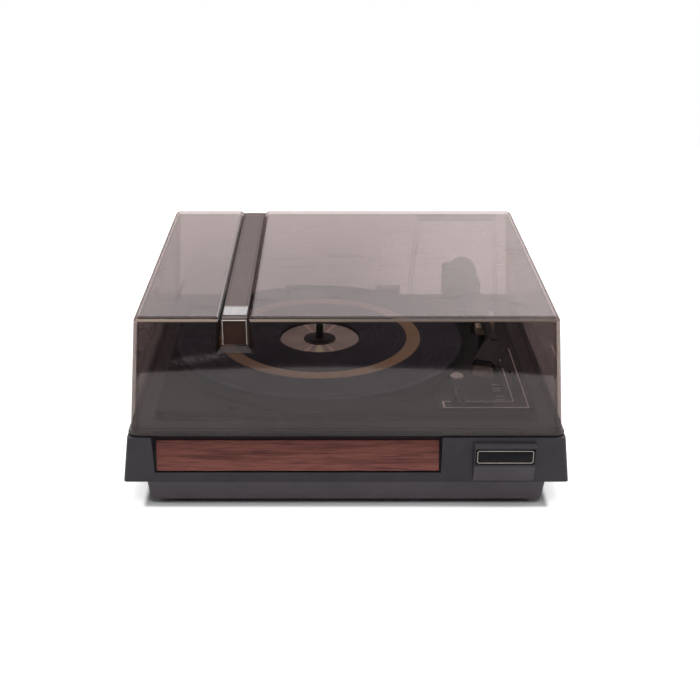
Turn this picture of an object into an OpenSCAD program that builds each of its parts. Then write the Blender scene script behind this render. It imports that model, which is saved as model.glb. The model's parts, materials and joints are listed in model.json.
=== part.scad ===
// Record changer turntable: a two-tier plinth, a sprung deck with its drive and tonearm,
// and a smoked dust cover on two rear hinges. All sizes are in millimetres.
// The origin lies on the table under the middle of the plinth: x right, y rear, z up.

/* [Plinth] */
// Width of the plinth beside the deck on each side
side_shelf = 25.5; // [23.5:0.5:28]
// Depth of the plinth in front of the deck
front_shelf = 35.5; // [33:0.5:40]
// Depth of the plinth behind the deck
rear_shelf = 31; // [29:1:36]
// Height of the ledge under the dust cover
ledge_z = 67; // [64:1:74]
// Height of the underside of the overhanging upper tier
tier_z = 24; // [22:1:27]
// Lean of each side of the upper tier towards its top
tier_draft = 5.5; // [4:0.5:6]
// Step of the lower tier inwards on each side
tier_inset = 19.5; // [18:0.5:21]
// Thickness of the moulded walls
plinth_wall = 4; // [3:0.5:4.5]
// Left end of the front recess from the top's left edge
recess_inset = 21.5; // [18:0.5:30]
// Gap between the front recess and the name boss
recess_gap = 27.5; // [20:0.5:40]
// Height of the floor of the front recess
recess_z = 33; // [31:0.5:35]
// Setback of the recess at the ledge
recess_lean = 12; // [9:0.5:13]
// Thickness of the wood front panel
panel_t = 2.5; // [1.5:0.1:3]
// Height of the wood front panel along its slope
panel_h = 28; // [24:0.5:29]
// Width of the raised name boss
boss_w = 53.4; // [53:0.2:58]
// Middle of the raised name boss from the top's right edge
boss_inset = 51.8; // [46:0.2:56]
// How far the boss stands forward
boss_proud = 5; // [4:0.5:7]
// Border of the boss beside the bare name plate
plate_margin = 1; // [0.6:0.1:3]
// Height of the bare name plate
plate_h = 15; // [12:0.5:16]

/* [Base] */
// Radius of a rubber foot
foot_r = 12; // [9:0.5:14]
// Height of a rubber foot
foot_h = 2; // [1.8:0.1:3]
// Thickness of the bottom board
board_t = 3; // [2.5:0.5:4]
// Radius of the mains and signal lead openings
lead_r = 6; // [5:0.5:7]

/* [Dust cover] */
// Inset of the cover's top from the widest plinth on each side
cover_inset = 15.5; // [15.5:0.5:18]
// Setback of the cover's top edge from the plinth front
cover_setback = 12; // [11:0.5:14]
// Height of the cover
cover_h = 106; // [100:1:112]
// Wall thickness of the cover
cover_t = 3; // [2.5:0.1:3.4]
// Flare of each wall from top to bottom
cover_draft = 8; // [6:0.5:8]
// Middle of the channel from the cover's left edge
channel_inset = 84.5; // [60:0.5:110]
// Width of the channel at the top face
channel_w = 29.5; // [28:0.5:32]
// Depth of the channel
channel_d = 4; // [3:0.2:5]
// Width of the dark strip in the channel
strip_w = 21; // [20:0.5:21.5]
// Border of the strip beside the square badge plate
badge_margin = 0.5; // [0.2:0.1:2]
// Width of the clearance bulge in the rear wall
bulge_w = 85; // [70:1:88]
// Middle of the bulge left of the arm pivot
bulge_shift = 8.5; // [6:0.5:14]
// How far the bulge stands out
bulge_proud = 12; // [8:0.5:12]

/* [Hinges] */
// Gap between the right hinge and the foot of the bulge
hinge_gap = 8; // [6:0.5:18]
// Diameter of a hinge pin
hinge_pin_d = 3; // [2.4:0.2:3.4]
// Radius of a hinge knuckle
knuckle_r = 3.5; // [3:0.1:3.6]

/* [Deck] */
// Deck left of the platter
deck_left = 6.3; // [5:0.1:9]
// Deck right of the platter, for the arm and the controls
arm_bay = 54.7; // [50:0.1:62]
// Reach of the platter over the front edge of the deck
platter_reach = 8.4; // [6:0.1:10]
// Deck behind the platter
deck_back = 6.9; // [5:0.1:9]
// Height of the deck plate over the ledge
deck_rise = 8; // [7.5:0.5:9]
// Sheet thickness of the deck plate
deck_t = 1.5; // [1.2:0.1:2]
// Radius of a suspension spring
spring_r = 7; // [6:0.5:7.5]
// Wire radius of a suspension spring
wire_r = 0.8; // [0.6:0.1:1]

/* [Platter] */
// Radius of the platter
platter_r = 138; // [126:0.5:150]
// Height of the platter rim
rim_h = 11; // [11:0.2:12]
// Thickness of the rubber mat
mat_t = 4; // [3:0.2:5]
// Inner radius of the tan ring
ring_r0 = 84.7; // [80:0.1:90]
// Outer radius of the tan ring
ring_r1 = 97.9; // [94:0.1:104]
// Radius of the turned centre disc
disc_r = 38.5; // [34:0.5:44]
// Radius of the hub cap
cap_r = 15.5; // [13:0.5:17]
// Radius of the record spindle
spindle_r = 3.58; // [3.5:0.01:3.6]
// Height of the spindle over the platter
spindle_h = 18; // [15:0.5:22]

/* [Drive] */
// Radius of the idler wheel
idler_r = 24; // [22:0.5:25]
// Pulley radius for the slow speed
pulley_r33 = 2.73; // [2.6:0.01:2.8]
// Pulley radius for the middle speed
pulley_r45 = 3.68; // [3.5:0.01:3.9]
// Pulley radius for the fast speed
pulley_r78 = 6.38; // [6:0.01:6.6]
// Gear module of the change cycle train
gear_m = 1.25; // [1.2:0.01:1.26]
// Teeth of the platter pinion
pinion_n = 16; // [16:1:17]
// Teeth of the cycle gear
gear_n = 64; // [60:1:66]

/* [Tonearm] */
// Pivot right of the platter's edge
arm_gap = 16.2; // [15:0.1:18]
// Pivot in front of the deck's rear edge
arm_edge = 50; // [46:0.5:54]
// Direction of the parked tube
arm_angle = -87.35; // [-89:0.05:-86]
// Height of the arm bearing over the deck
arm_rise = 35; // [34:0.5:37]
// Radius of the tube
tube_r = 4; // [3.5:0.1:4.2]
// Distance from the pivot to the head joint
neck_l = 158; // [152:1:160]
// Offset angle of the head
head_turn = 22; // [18:0.5:24]
// Length of the head
head_l = 46; // [44:0.5:48]
// Width of the head
head_w = 20; // [19:0.5:22]
// Radius of the counterweight
weight_r = 14; // [12:0.5:15]
// Distance of the arm rest from the pivot
rest_l = 102; // [96:1:112]

/* [Controls] */
// Height of the control panel over the deck
panel_rise = 2; // [1.5:0.5:5]
// Width of the control bands
band_w = 13; // [12:0.5:14]
// Travel of the speed knob
speed_travel = 28; // [20:1:30]
// Travel of the function knob
function_travel = 36; // [24:1:40]
// Radius of the round cue lever knob
cue_knob_r = 6; // [5:0.5:6.5]

/* [Fits] */
// Radial gap of a running fit
run_gap = 0.06; // [0.03:0.01:0.09]
// Gap between rolling faces
roll_gap = 0.3; // [0.2:0.05:0.5]
// Gap round a piece that slides in a slot
slot_gap = 0.4; // [0.3:0.05:0.6]

/* [Hidden] */
$fn = 48;
skin = 0.02;
hull_fn = 32;

deck_w = deck_left + 2 * platter_r + arm_bay;
deck_d = 2 * platter_r + deck_back - platter_reach;
plinth_w = deck_w + 2 * side_shelf;
plinth_d = deck_d + front_shelf + rear_shelf;
plinth_front = boss_proud - (plinth_d + boss_proud) / 2;
plinth_rear = plinth_front + plinth_d;
board_z = foot_h + board_t;
low_w = plinth_w - 2 * tier_inset;
low_lean = 3.5;
low_taper = 2;
tier_step = 0.5;
top_w = plinth_w - 2 * tier_draft;
deck_y = plinth_front + front_shelf + deck_d / 2;
deck_front = deck_y - deck_d / 2;
deck_rear = deck_y + deck_d / 2;
deck_open_w = deck_w - 57;
hub_x = platter_r + deck_left - deck_w / 2;
hub_y = deck_front + platter_r - platter_reach;
arm_x = hub_x + platter_r + arm_gap;
arm_y = deck_rear - arm_edge;
board_w = low_w - 16;
shelf_t = 4;
shelf_under = ledge_z - shelf_t;
rear_relief = 2;
lead_z = ledge_z - 25;
relief_w = low_w - 49;
relief_h = 24;
lead_xs = [low_w / 2 - 84.5, low_w / 2 - 52.5];
foot_x = board_w / 2 - 18;
foot_ys = [plinth_front + 32, plinth_rear - 32];
lip_t = 3;
lip_w = 7;
flange_w = 4;
post_r = 6.5;
post_gap = 0.3;
post_x = low_w / 2 - low_taper - plinth_wall - post_r - post_gap;
post_in = low_lean + plinth_wall + post_r + post_gap;
post_ys = [plinth_front + post_in, plinth_rear - post_in];
screw_r = 1.7;
boss_x = top_w / 2 - boss_inset;
recess_x0 = recess_inset - top_w / 2;
recess_x1 = boss_x - boss_w / 2 - recess_gap;
plate_w = boss_w - 2 * plate_margin;

panel_angle = atan((recess_lean - panel_t - 0.5) / (ledge_z - recess_z));
plate_z = ledge_z - 15.8;
plate_t = 0.6;

bumper_t = 1;
cover_z = ledge_z + bumper_t;
cover_top = cover_z + cover_h;
cover_w = plinth_w - 2 * cover_inset;
cover_front = plinth_front + cover_setback;
cover_rear = plinth_rear - 27;
cover_r = 6;
foot_front = cover_front - cover_draft;
foot_rear = cover_rear + cover_draft;
foot_w = cover_w + 2 * cover_draft;
bead = 0.8;
pad_in = 24;
pad_l = 14;
pad_w = 2.8;
channel_x = channel_inset - cover_w / 2;
badge_w = strip_w - 2 * badge_margin;
badge_in = 11.3;
bulge_x0 = arm_x - bulge_shift - bulge_w / 2;
bulge_x1 = bulge_x0 + bulge_w;
channel_floor = cover_top - channel_d;
channel_slope = (channel_w - strip_w - 1) / 2 / channel_d;
strip_t = 1;
badge_t = 0.8;
notch_drop = 27;
notch_floor = cover_front + 4;
bulge_top = cover_top - 9;
lean = cover_draft / (cover_h - cover_r);

bulge_flare = 7;
bracket_w = 28;
hinge_x = bulge_x0 - bulge_flare - hinge_gap - bracket_w / 2;
hinge_y = foot_rear + 11;
hinge_z = ledge_z + 6;
pin_r = hinge_pin_d / 2;
ear_gap = 12.8;
ear_w = 7;

deck_z = ledge_z + deck_rise;
deck_under = deck_z - deck_t;
spring_x = deck_w / 2 - 14;
spring_ys = [deck_front + 14, deck_rear - 14];
spring_floor = ledge_z - 6;
spring_turns = 3.5;
transit_in = 7;
transit_at = [[-100, deck_front + transit_in], [-60, deck_rear - transit_in],
  [66, deck_rear - transit_in]];

rim_z = deck_z + 2;
platter_z = rim_z + rim_h;
web_t = 3;
web_z = platter_z - web_t;
rim_t = 3;
rim_in = platter_r - rim_t;
mat_z = platter_z + mat_t;
race_z = deck_z + 2.5;
ball_r = 1.1;
washer_t = 0.8;
ball_gap = 0.05;
hub_foot = race_z + 2 * washer_t + 2 * ball_r + 2 * ball_gap;
sleeve_r = 6;
hub_spigot_r = 9;
shank_r = 3;

idler_turn = 140;
idler_at = rim_in - idler_r - roll_gap;
idler_x = hub_x + idler_at * cos(idler_turn);
idler_y = hub_y + idler_at * sin(idler_turn);
idler_z0 = web_z - 4.5;
idler_z1 = web_z - 2;
stud_r = 2.5;
motor_turn = -60;
motor_at = idler_r + roll_gap + pulley_r33;
motor_x = idler_x + motor_at * cos(motor_turn);
motor_y = idler_y + motor_at * sin(motor_turn);
shaft_r = 1.5;
stack_z0 = deck_z - 31;
stack_z1 = deck_z - 13;
stack_w = 64;
stack_d = 84;
stack_y = -12;
window_w = 36;
window_y0 = -42;
window_y1 = -22;
coil_w = 34;
coil_d = 22;
coil_y = -48;
coil_over = 7;
limb_half = 6.1;
end_d = 60;
rotor_r = 16.5;
mount_at = [[-27, 26], [27, 26], [0, -47]];
gear_turn = -35;
gear_at = gear_m * (pinion_n + gear_n) / 2;
gear_x = hub_x + gear_at * cos(gear_turn);
gear_y = hub_y + gear_at * sin(gear_turn);
gear_z0 = hub_foot + 0.4;
gear_z1 = web_z - 0.4;
gear_stud_r = 4;
backlash = 0.3;
home_teeth = 4;

arm_z = deck_z + arm_rise;
shaft_post_r = 5;
base_top = arm_z - 18;
yoke_foot = base_top + roll_gap;
ear_in = 8.3;
ear_out = 11.5;
ear_top = arm_z + 5;
hood_z = arm_z + 9.5;
hood_h = 10;
hood_left = 26;
hood_slope = 13;
block_w = 15;
pivot_r = 2;
stub_r = 3.5;
stub_end = -52;
weight_x = -46;
weight_l = 22;
tube_end = neck_l - 8;
head_t = 4;
cartridge_drop = 12;
stylus_drop = 14;
rest_base_r = 8;
cue_axis_z = deck_z - 7;
cue_top = deck_z + 18;
cue_pin_r = 1.5;
lift_l = 47;
lift_rise = 5.5;
lift_top = arm_z - tube_r - lift_rise - 0.6;
rod_r = 3;

mat_r = platter_r + 0.6;
panel_gap = 4.8;
ctl_x1 = deck_w / 2 - 1.5;
ctl_y0 = deck_front + 1;
ctl_y1 = ctl_y0 + 30;
ctl_y2 = ctl_y0 + 140;
ctl_x0 = hub_x + sqrt(pow(mat_r + panel_gap, 2) - pow(hub_y - ctl_y1, 2));
limb_x0 = arm_x + rest_l * cos(arm_angle) + rest_base_r + roll_gap;
cue_x = ctl_x0 + 21;
cue_y = ctl_y1 + 6.5;
ctl_top = deck_z + panel_rise;
line_w = 1;
line_t = 0.4;
band_x1 = ctl_x1 - 5;
band_x0 = band_x1 - band_w;
band_y0 = ctl_y0 + 2.4;
band_y1 = band_y0 + band_w - 2;
speed_x = ctl_x0 + 20;
speed_y = (band_y0 + band_y1) / 2;
function_x = (band_x0 + band_x1) / 2;
function_y = ctl_y0 + 40;
switch_w = 26;
switch_d = 24;
switch_h = 20;
stem_w = 2.4;
stem_l = 6;

// Rectangle with round corners, in the plane
module rounded(w, d, r) {
  square([w - 2 * r, d], center = true);
  square([w, d - 2 * r], center = true);
  for (x = [-1, 1], y = [-1, 1])
    translate([x * (w / 2 - r), y * (d / 2 - r)])
      circle(r);
}

// Upright slab with round corners between two heights
module slab(w, front, rear, z0, z1, r) {
  translate([0, (front + rear) / 2, z0])
    linear_extrude(z1 - z0)
      rounded(w, rear - front, r);
}

// Block whose outline changes from its foot to its top
module drafted(w0, front0, rear0, z0, w1, front1, rear1, z1, r) {
  hull() {
    slab(w0, front0, rear0, z0, z0 + skin, r, $fn = hull_fn);
    slab(w1, front1, rear1, z1 - skin, z1, r, $fn = hull_fn);
  }
}

// Box between two corners
module box(x0, x1, y0, y1, z0, z1) {
  translate([x0, y0, z0])
    cube([x1 - x0, y1 - y0, z1 - z0]);
}

// Upright round between two heights
module rod(r, z0, z1) {
  translate([0, 0, z0])
    cylinder(r = r, h = z1 - z0);
}

// Upright ring between two heights
module ring(r0, r1, z0, z1) {
  difference() {
    rod(r1, z0, z1);
    rod(r0, z0 - 1, z1 + 1);
  }
}

// Profile in y and z carried along x
module along_x(x0, x1) {
  translate([x0, 0, 0])
    rotate([90, 0, 90])
      linear_extrude(x1 - x0)
        children();
}

// Profile in x and z carried along y
module along_y(y0, y1) {
  translate([0, y1, 0])
    rotate([90, 0, 0])
      linear_extrude(y1 - y0)
        children();
}

// Round lying along x between two places
module rod_x(r, x0, x1) {
  translate([x0, 0, 0])
    rotate([0, 90, 0])
      cylinder(r = r, h = x1 - x0);
}

// Round lying along y between two places
module rod_y(r, y0, y1) {
  translate([0, y0, 0])
    rotate([-90, 0, 0])
      cylinder(r = r, h = y1 - y0);
}

// Copies at every crossing of two lists
module at_each(xs, ys) {
  for (x = xs, y = ys)
    translate([x, y, 0])
      children();
}

// Frame of the platter
module at_hub() {
  translate([hub_x, hub_y, 0])
    children();
}

// Frame of the motor
module at_motor() {
  translate([motor_x, motor_y, 0])
    children();
}

// Frame of the parked tonearm, x along the tube towards the head
module at_arm() {
  translate([arm_x, arm_y, 0])
    rotate([0, 0, arm_angle])
      children();
}

// Frame of the head, x towards its nose, z from the tube axis
module at_head() {
  at_arm()
    translate([neck_l, 0, arm_z])
      rotate([0, 0, -head_turn])
        children();
}

// Involute angle in degrees
function inv(a) = tan(a) * 180 / PI - a;

// One flank of a gear tooth as radius and half angle
function flank(n, m) =
  let(rp = n * m / 2, rb = rp * cos(20), half = 90 / n - backlash * 90 / (PI * rp))
  [for (k = [0:4]) let(r = max(rb, rp - m) + (rp + 0.95 * m - max(rb, rp - m)) * k / 4)
    [r, half + inv(20) - inv(acos(min(1, rb / r)))]];

// Outline of one gear tooth
function tooth(n, m, turn) = let(f = flank(n, m), rf = n * m / 2 - 1.25 * m, a0 = f[0][1])
  concat([[rf * cos(turn - a0), rf * sin(turn - a0)]],
    [for (k = [0:4]) [f[k][0] * cos(turn - f[k][1]), f[k][0] * sin(turn - f[k][1])]],
    [for (k = [4:-1:0]) [f[k][0] * cos(turn + f[k][1]), f[k][0] * sin(turn + f[k][1])]],
    [[rf * cos(turn + a0), rf * sin(turn + a0)]]);

// Gear outline, with teeth left out round its home position
module gear_outline(n, m, first, last, turn) {
  rf = n * m / 2 - 1.25 * m;
  circle(rf + 0.01);
  for (k = [first:last])
    polygon(concat([[0, 0]], tooth(n, m, turn + k * 360 / n)));
}

// Four pockets, rods or cups at the springs
module at_springs() {
  at_each([-spring_x, spring_x], spring_ys)
    children();
}

// Moulded plinth with its recesses
module plinth() {
  color("#3e393d")
    difference() {
      union() {
        plinth_shell();
        at_springs()
          rod(spring_r + 5.5, spring_floor - 3, shelf_under + 1);
        at_each([-post_x, post_x], post_ys)
          rod(post_r, board_z + lip_t, tier_z + plinth_wall + 4);
      }
      at_springs()
        rod(spring_r + 2.5, spring_floor, ledge_z + 1);
      at_each([-post_x, post_x], post_ys)
        rod(screw_r + 0.05, board_z, board_z + 14);
      for (p = transit_at)
        translate([p[0], p[1], 0])
          rod(2.1, shelf_under - 1, ledge_z + 1);
      front_recess();
      box(boss_x - plate_w / 2, boss_x + plate_w / 2, plinth_front - boss_proud - 1,
        plinth_front - boss_proud + plate_t, plate_z - plate_h / 2, plate_z + plate_h / 2);
      box(-relief_w / 2, relief_w / 2, plinth_rear - rear_relief, plinth_rear + 1,
        lead_z - relief_h / 2, lead_z + relief_h / 2);
      for (x = lead_xs)
        translate([x, 0, lead_z])
          rod_y(lead_r, plinth_rear - 12, plinth_rear + 1);
    }
}

// Outer form and boss of the plinth with the cavity taken out
module plinth_shell() {
  difference() {
    union() {
      drafted(plinth_w, plinth_front, plinth_rear, tier_z,
        top_w, plinth_front, plinth_rear, ledge_z, 3);
      along_x(boss_x - boss_w / 2, boss_x + boss_w / 2)
        polygon([[plinth_front + 1, plate_z + plate_h / 2 + 4],
          [plinth_front, plate_z + plate_h / 2 + 3.5],
          [plinth_front - boss_proud, plate_z + plate_h / 2 + 2],
          [plinth_front - boss_proud, plate_z - plate_h / 2 - 0.5],
          [plinth_front, tier_z + 1],
          [plinth_front + 1, tier_z + 1]]);
    }
    tray_room(flange_w, tier_z - 1, tier_z + plinth_wall + 1);
    slab(top_w - 2 * plinth_wall, plinth_front + recess_lean + plinth_wall + 1,
      plinth_rear - rear_relief - plinth_wall, tier_z + plinth_wall, shelf_under, 4);
    slab(deck_open_w, deck_front + 14, deck_rear - 14, shelf_under - 1, ledge_z + 1, 12);
  }
}

// Room inside the base tray, drawn in by a margin
module tray_room(inset, z0, z1) {
  inner = plinth_wall + inset;
  slab(low_w - 2 * low_taper - 2 * inner, plinth_front + low_lean + inner,
    plinth_rear - low_lean - inner, z0, z1, 4);
}

// Narrower tray under the plinth, with a lip on the bottom board
module base_tray() {
  color("#464147")
    difference() {
      drafted(low_w - 2 * low_taper, plinth_front + low_lean, plinth_rear - low_lean, board_z,
        low_w, plinth_front + tier_step, plinth_rear - tier_step, tier_z, 5);
      tray_room(0, board_z + lip_t, tier_z + 1);
      difference() {
        tray_room(lip_w, board_z - 1, board_z + lip_t + 1);
        at_each([-post_x, post_x], post_ys)
          rod(post_r, board_z - 2, board_z + lip_t + 2);
      }
      at_each([-post_x, post_x], post_ys)
        rod(screw_r + 0.1, board_z - 1, board_z + lip_t + 1);
    }
}

// Sloped recess in the front, open under the cover
module front_recess() {
  intersection() {
    along_x(recess_x0 - 10, recess_x1 + 10)
      polygon([[plinth_front - 1, recess_z],
        [plinth_front + panel_t + 0.5, recess_z],
        [plinth_front + recess_lean, ledge_z],
        [plinth_front + recess_lean, ledge_z + 1],
        [plinth_front - 1, ledge_z + 1]]);
    along_y(plinth_front - 2, plinth_front + recess_lean + 1)
      polygon([[recess_x0 + 0.8, recess_z - 1], [recess_x1 - 0.3, recess_z - 1],
        [recess_x1 + 0.3, ledge_z + 2], [recess_x0 - 0.8, ledge_z + 2]]);
  }
}

// Walnut panel lying on the slope of the recess
module wood_panel() {
  color("#65403c")
    translate([0, plinth_front + panel_t + 0.5, recess_z])
      rotate([-panel_angle, 0, 0])
        box(recess_x0 + 2.4, recess_x1 - 2, -panel_t, 0, 0.9, panel_h);
}

// Bare name plate let into the boss
module name_plate() {
  color("#121012")
    box(boss_x - plate_w / 2, boss_x + plate_w / 2, plinth_front - boss_proud,
      plinth_front - boss_proud + plate_t, plate_z - plate_h / 2, plate_z + plate_h / 2);
}

// Hardboard that closes the plinth from below
module bottom_board() {
  color("#2a2422")
    difference() {
      slab(board_w, plinth_front + 9, plinth_rear - 9, foot_h, board_z, 4);
      at_each([-post_x, post_x], post_ys)
        rod(screw_r + 0.1, foot_h - 1, board_z + 1);
    }
}

// Four rubber feet
module rubber_feet() {
  color("#1a1a1c")
    at_each([-foot_x, foot_x], foot_ys)
      cylinder(r1 = foot_r - 1, r2 = foot_r, h = foot_h);
}

// Four screws through the bottom board
module board_screws() {
  color("#9a9a9e")
    at_each([-post_x, post_x], post_ys) {
      rod(screw_r, foot_h, board_z + 12);
      rod(3.2, foot_h - 1.2, foot_h);
    }
}

// Thin pads that the cover rests on
module cover_bumpers() {
  color("#202022")
    for (s = [-1, 1], y = [foot_front + pad_in, foot_rear - pad_in])
      translate([s * (foot_w / 2 - 1.6), y, 0])
        box(-pad_w / 2, pad_w / 2, -pad_l / 2, pad_l / 2, ledge_z, ledge_z + bumper_t);
}

// Rubber glands where the leads leave the rear
module lead_grommets() {
  color("#161618")
    for (x = lead_xs)
      translate([x, plinth_rear - rear_relief, lead_z])
        difference() {
          union() {
            rod_y(lead_r + 2.5, 0, 1.5);
            rod_y(lead_r, -plinth_wall, 0);
            rod_y(lead_r + 2, -plinth_wall - 1.5, -plinth_wall);
          }
          rod_y(lead_r / 2, -plinth_wall - 2, 2);
        }
}

// Fixed halves of the two hinges
module hinge_brackets() {
  color("#2c2a2c")
    for (s = [-1, 1])
      translate([s * hinge_x, hinge_y, 0])
        difference() {
          union() {
            box(-bracket_w / 2, bracket_w / 2, -8, 7, ledge_z, ledge_z + 2);
            for (e = [-1, 1])
              translate([e * (ear_gap + ear_w) / 2 - ear_w / 2, 0, 0]) {
                box(0, ear_w, -3.5, 3.5, ledge_z + 1, hinge_z);
                translate([0, 0, hinge_z])
                  rod_x(knuckle_r, 0, ear_w);
              }
          }
          translate([0, 0, hinge_z])
            rod_x(pin_r, -20, 20);
        }
}

// Two steel hinge pins
module hinge_pins() {
  color("#b5b5ba")
    for (s = [-1, 1])
      translate([s * hinge_x, hinge_y, hinge_z])
        rod_x(pin_r - 0.01, -ear_gap / 2 - ear_w, ear_gap / 2 + ear_w);
}

// Rear face of the cover at a height
function wall_y(z) = foot_rear - lean * (z - cover_z);

// Moving halves of the two hinges
module hinge_leaves() {
  z0 = cover_z + 7;
  z1 = hinge_z + 5;
  z2 = hinge_z + 12;
  color("#6d6464")
    for (s = [-1, 1])
      translate([s * hinge_x, 0, 0])
        difference() {
          union() {
            translate([0, hinge_y, hinge_z])
              rod_x(knuckle_r, -ear_gap / 2 + slot_gap, ear_gap / 2 - slot_gap);
            along_x(-ear_gap / 2 + slot_gap, ear_gap / 2 - slot_gap)
              polygon([[wall_y(z0) + 0.1, z0], [wall_y(z2) + 0.1, z2], [wall_y(z2) + 2.5, z2],
                [wall_y(z1) + 2.5, z1], [hinge_y, hinge_z + knuckle_r],
                [hinge_y, hinge_z - knuckle_r], [wall_y(z0) + 3, z0]]);
            along_x(-13, 13)
              polygon([[wall_y(z1) + 0.1, z1], [wall_y(z2) + 0.1, z2],
                [wall_y(z2) + 2.5, z2], [wall_y(z1) + 2.5, z1]]);
          }
          translate([0, hinge_y, hinge_z])
            rod_x(pin_r + run_gap, -20, 20);
        }
}

// Closed form of the cover, shrunk by a wall
module cover_form(t, r, z0) {
  hull() {
    slab(foot_w - 2 * t, foot_front + t, foot_rear - t, z0, z0 + skin, 8 - t, $fn = hull_fn);
    for (s = [-1, 1], y = [cover_front + t + r, cover_rear - t - r])
      translate([s * (cover_w / 2 - t - r), y, cover_top - t - r])
        sphere(r, $fn = hull_fn);
  }
}

// Channel along the top, widened by a wall
module channel(t) {
  floor_w = strip_w + 1 + 0.8 * t;
  depth = channel_d + t + 2;
  translate([channel_x, 0, 0])
    along_y(cover_front - 20, cover_rear + 20)
      polygon([[-floor_w / 2, channel_floor - t], [floor_w / 2, channel_floor - t],
        [floor_w / 2 + depth * channel_slope, cover_top + 2],
        [-floor_w / 2 - depth * channel_slope, cover_top + 2]]);
}

// Notch where the channel turns down the front, widened by a wall
module notch(t) {
  run = 8 + t;
  low = cover_top - notch_drop - 0.45 * t;
  half = strip_w / 2 + 0.45 * t;
  translate([channel_x, 0, 0])
    hull() {
      box(-half, half, notch_floor + t - skin, notch_floor + t, low, cover_top + 2);
      box(-half - 0.8 * run, half + 0.8 * run, notch_floor - 8 - skin, notch_floor - 8,
        low - 0.7 * run, cover_top + 2);
    }
}

// Clearance bulge in the rear wall, shrunk by a wall
module bulge(t, z0) {
  hull() {
    box(bulge_x0 - bulge_flare + t, bulge_x1 + bulge_flare - t, foot_rear - 20, foot_rear + bulge_proud - t,
      z0, z0 + skin);
    box(bulge_x0 + t, bulge_x1 - t, cover_rear - 20, cover_rear + bulge_proud - t,
      bulge_top - t - skin, bulge_top - t);
  }
}

// Smoked dust cover
module dust_cover() {
  color("#6e6462", 0.5)
    difference() {
      union() {
        cover_form(0, cover_r, cover_z);
        bulge(0, cover_z);
        drafted(foot_w + 2 * bead, foot_front - bead, foot_rear + bead, cover_z,
          foot_w, foot_front, foot_rear, cover_z + 6, 8);
      }
      difference() {
        cover_form(cover_t, cover_r - 2.5, cover_z - 1);
        channel(cover_t);
        notch(cover_t);
      }
      bulge(cover_t, cover_z - 1);
      channel(0);
      notch(0);
    }
}

// Dark strip in the channel
module cover_strip() {
  color("#7d7272")
    box(channel_x - strip_w / 2, channel_x + strip_w / 2, notch_floor + 1, cover_rear - 2,
      channel_floor, channel_floor + strip_t);
}

// Bare square badge plate at the front of the strip
module cover_badge() {
  color("#d8d4d2")
    box(channel_x - badge_w / 2, channel_x + badge_w / 2, cover_front + badge_in,
      cover_front + badge_in + badge_w, channel_floor + strip_t, channel_floor + strip_t + badge_t);
}

// Pressed deck plate with a turned-down edge
module deck_plate() {
  color("#29272a")
    difference() {
      slab(deck_w, deck_front, deck_rear, ledge_z + 1.5, deck_z, 8);
      slab(deck_w - 2 * deck_t, deck_front + deck_t, deck_rear - deck_t, ledge_z, deck_under,
        8 - deck_t);
      at_hub()
        rod(sleeve_r + 2, deck_under - 1, deck_z + 1);
      at_motor() {
        rod(pulley_r78 + 2.6, deck_under - 1, deck_z + 1);
        for (p = mount_at)
          translate([p[0], p[1], 0])
            rod(4.05, deck_under - 1, deck_z + 1);
      }
      at_arm() {
        rod(shaft_post_r + 2, deck_under - 1, deck_z + 1);
        translate([lift_l, 0, 0])
          rod(rod_r + run_gap, deck_under - 1, deck_z + 1);
      }
      for (p = transit_at)
        translate([p[0], p[1], 0])
          rod(2.6, deck_under - 1, deck_z + 1);
      box(cue_x - 3.4, cue_x + 3.4, cue_y - 6.4, cue_y + 3.4, deck_under - 1, deck_z + 1);
      control_slots(deck_under - 1, deck_z + 1);
    }
}

// Slots for the two sliding knobs
module control_slots(z0, z1) {
  gap = slot_gap;
  box(speed_x - stem_l / 2 - gap, speed_x + stem_l / 2 + speed_travel + gap,
    speed_y - stem_w / 2 - gap, speed_y + stem_w / 2 + gap, z0, z1);
  box(function_x - stem_w / 2 - gap, function_x + stem_w / 2 + gap,
    function_y - stem_l / 2 - gap, function_y + stem_l / 2 + function_travel + gap, z0, z1);
}

// Centre line of one spring
function coil(a) = [spring_r * cos(a), spring_r * sin(a),
  spring_floor + wire_r + (deck_under - spring_floor - 2 * wire_r) * a / (360 * spring_turns)];

// Least gap between two turns of a spring
function coil_gap() = min([for (k = [0:12:360 * (spring_turns - 1)])
  for (j = [-24:12:24]) if (k + 360 + j <= 360 * spring_turns)
    norm(coil(k) - coil(k + 360 + j)) - 2 * wire_r]);

// Four coil springs under the deck
module suspension_springs() {
  steps = 16;
  sides = 6;
  last = steps * spring_turns;
  points = [for (k = [0:last]) let(a = k * 360 / steps, c = coil(a))
    for (j = [0:sides - 1]) let(b = j * 360 / sides)
      c + wire_r * [cos(a) * cos(b), sin(a) * cos(b), sin(b)]];
  skins = [for (k = [0:last - 1], j = [0:sides - 1])
    [k * sides + j, k * sides + (j + 1) % sides,
      (k + 1) * sides + (j + 1) % sides, (k + 1) * sides + j]];
  ends = [[for (j = [sides - 1:-1:0]) j], [for (j = [0:sides - 1]) last * sides + j]];
  color("#a8a8ac")
    at_springs()
      polyhedron(points, concat(skins, ends), convexity = 8);
}
echo(spring_gap = coil_gap());

// Three transit screws with slotted heads
module transit_screws() {
  color("#8e8e92")
    for (p = transit_at)
      translate([p[0], p[1], 0])
        difference() {
          union() {
            rod(2, shelf_under - 5, deck_z);
            rod(4.5, deck_z, deck_z + 2);
          }
          box(-6, 6, -0.5, 0.5, deck_z + 1, deck_z + 3);
        }
}

// Black control panel, an L round the right front corner
module control_panel() {
  color("#1c1b1d")
    difference() {
      union() {
        box(ctl_x0, ctl_x1, ctl_y0, ctl_y1, deck_z, ctl_top);
        box(limb_x0, ctl_x1, ctl_y0, ctl_y2, deck_z, ctl_top);
      }
      control_slots(deck_z - 1, ctl_top + 1);
    }
}

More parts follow.
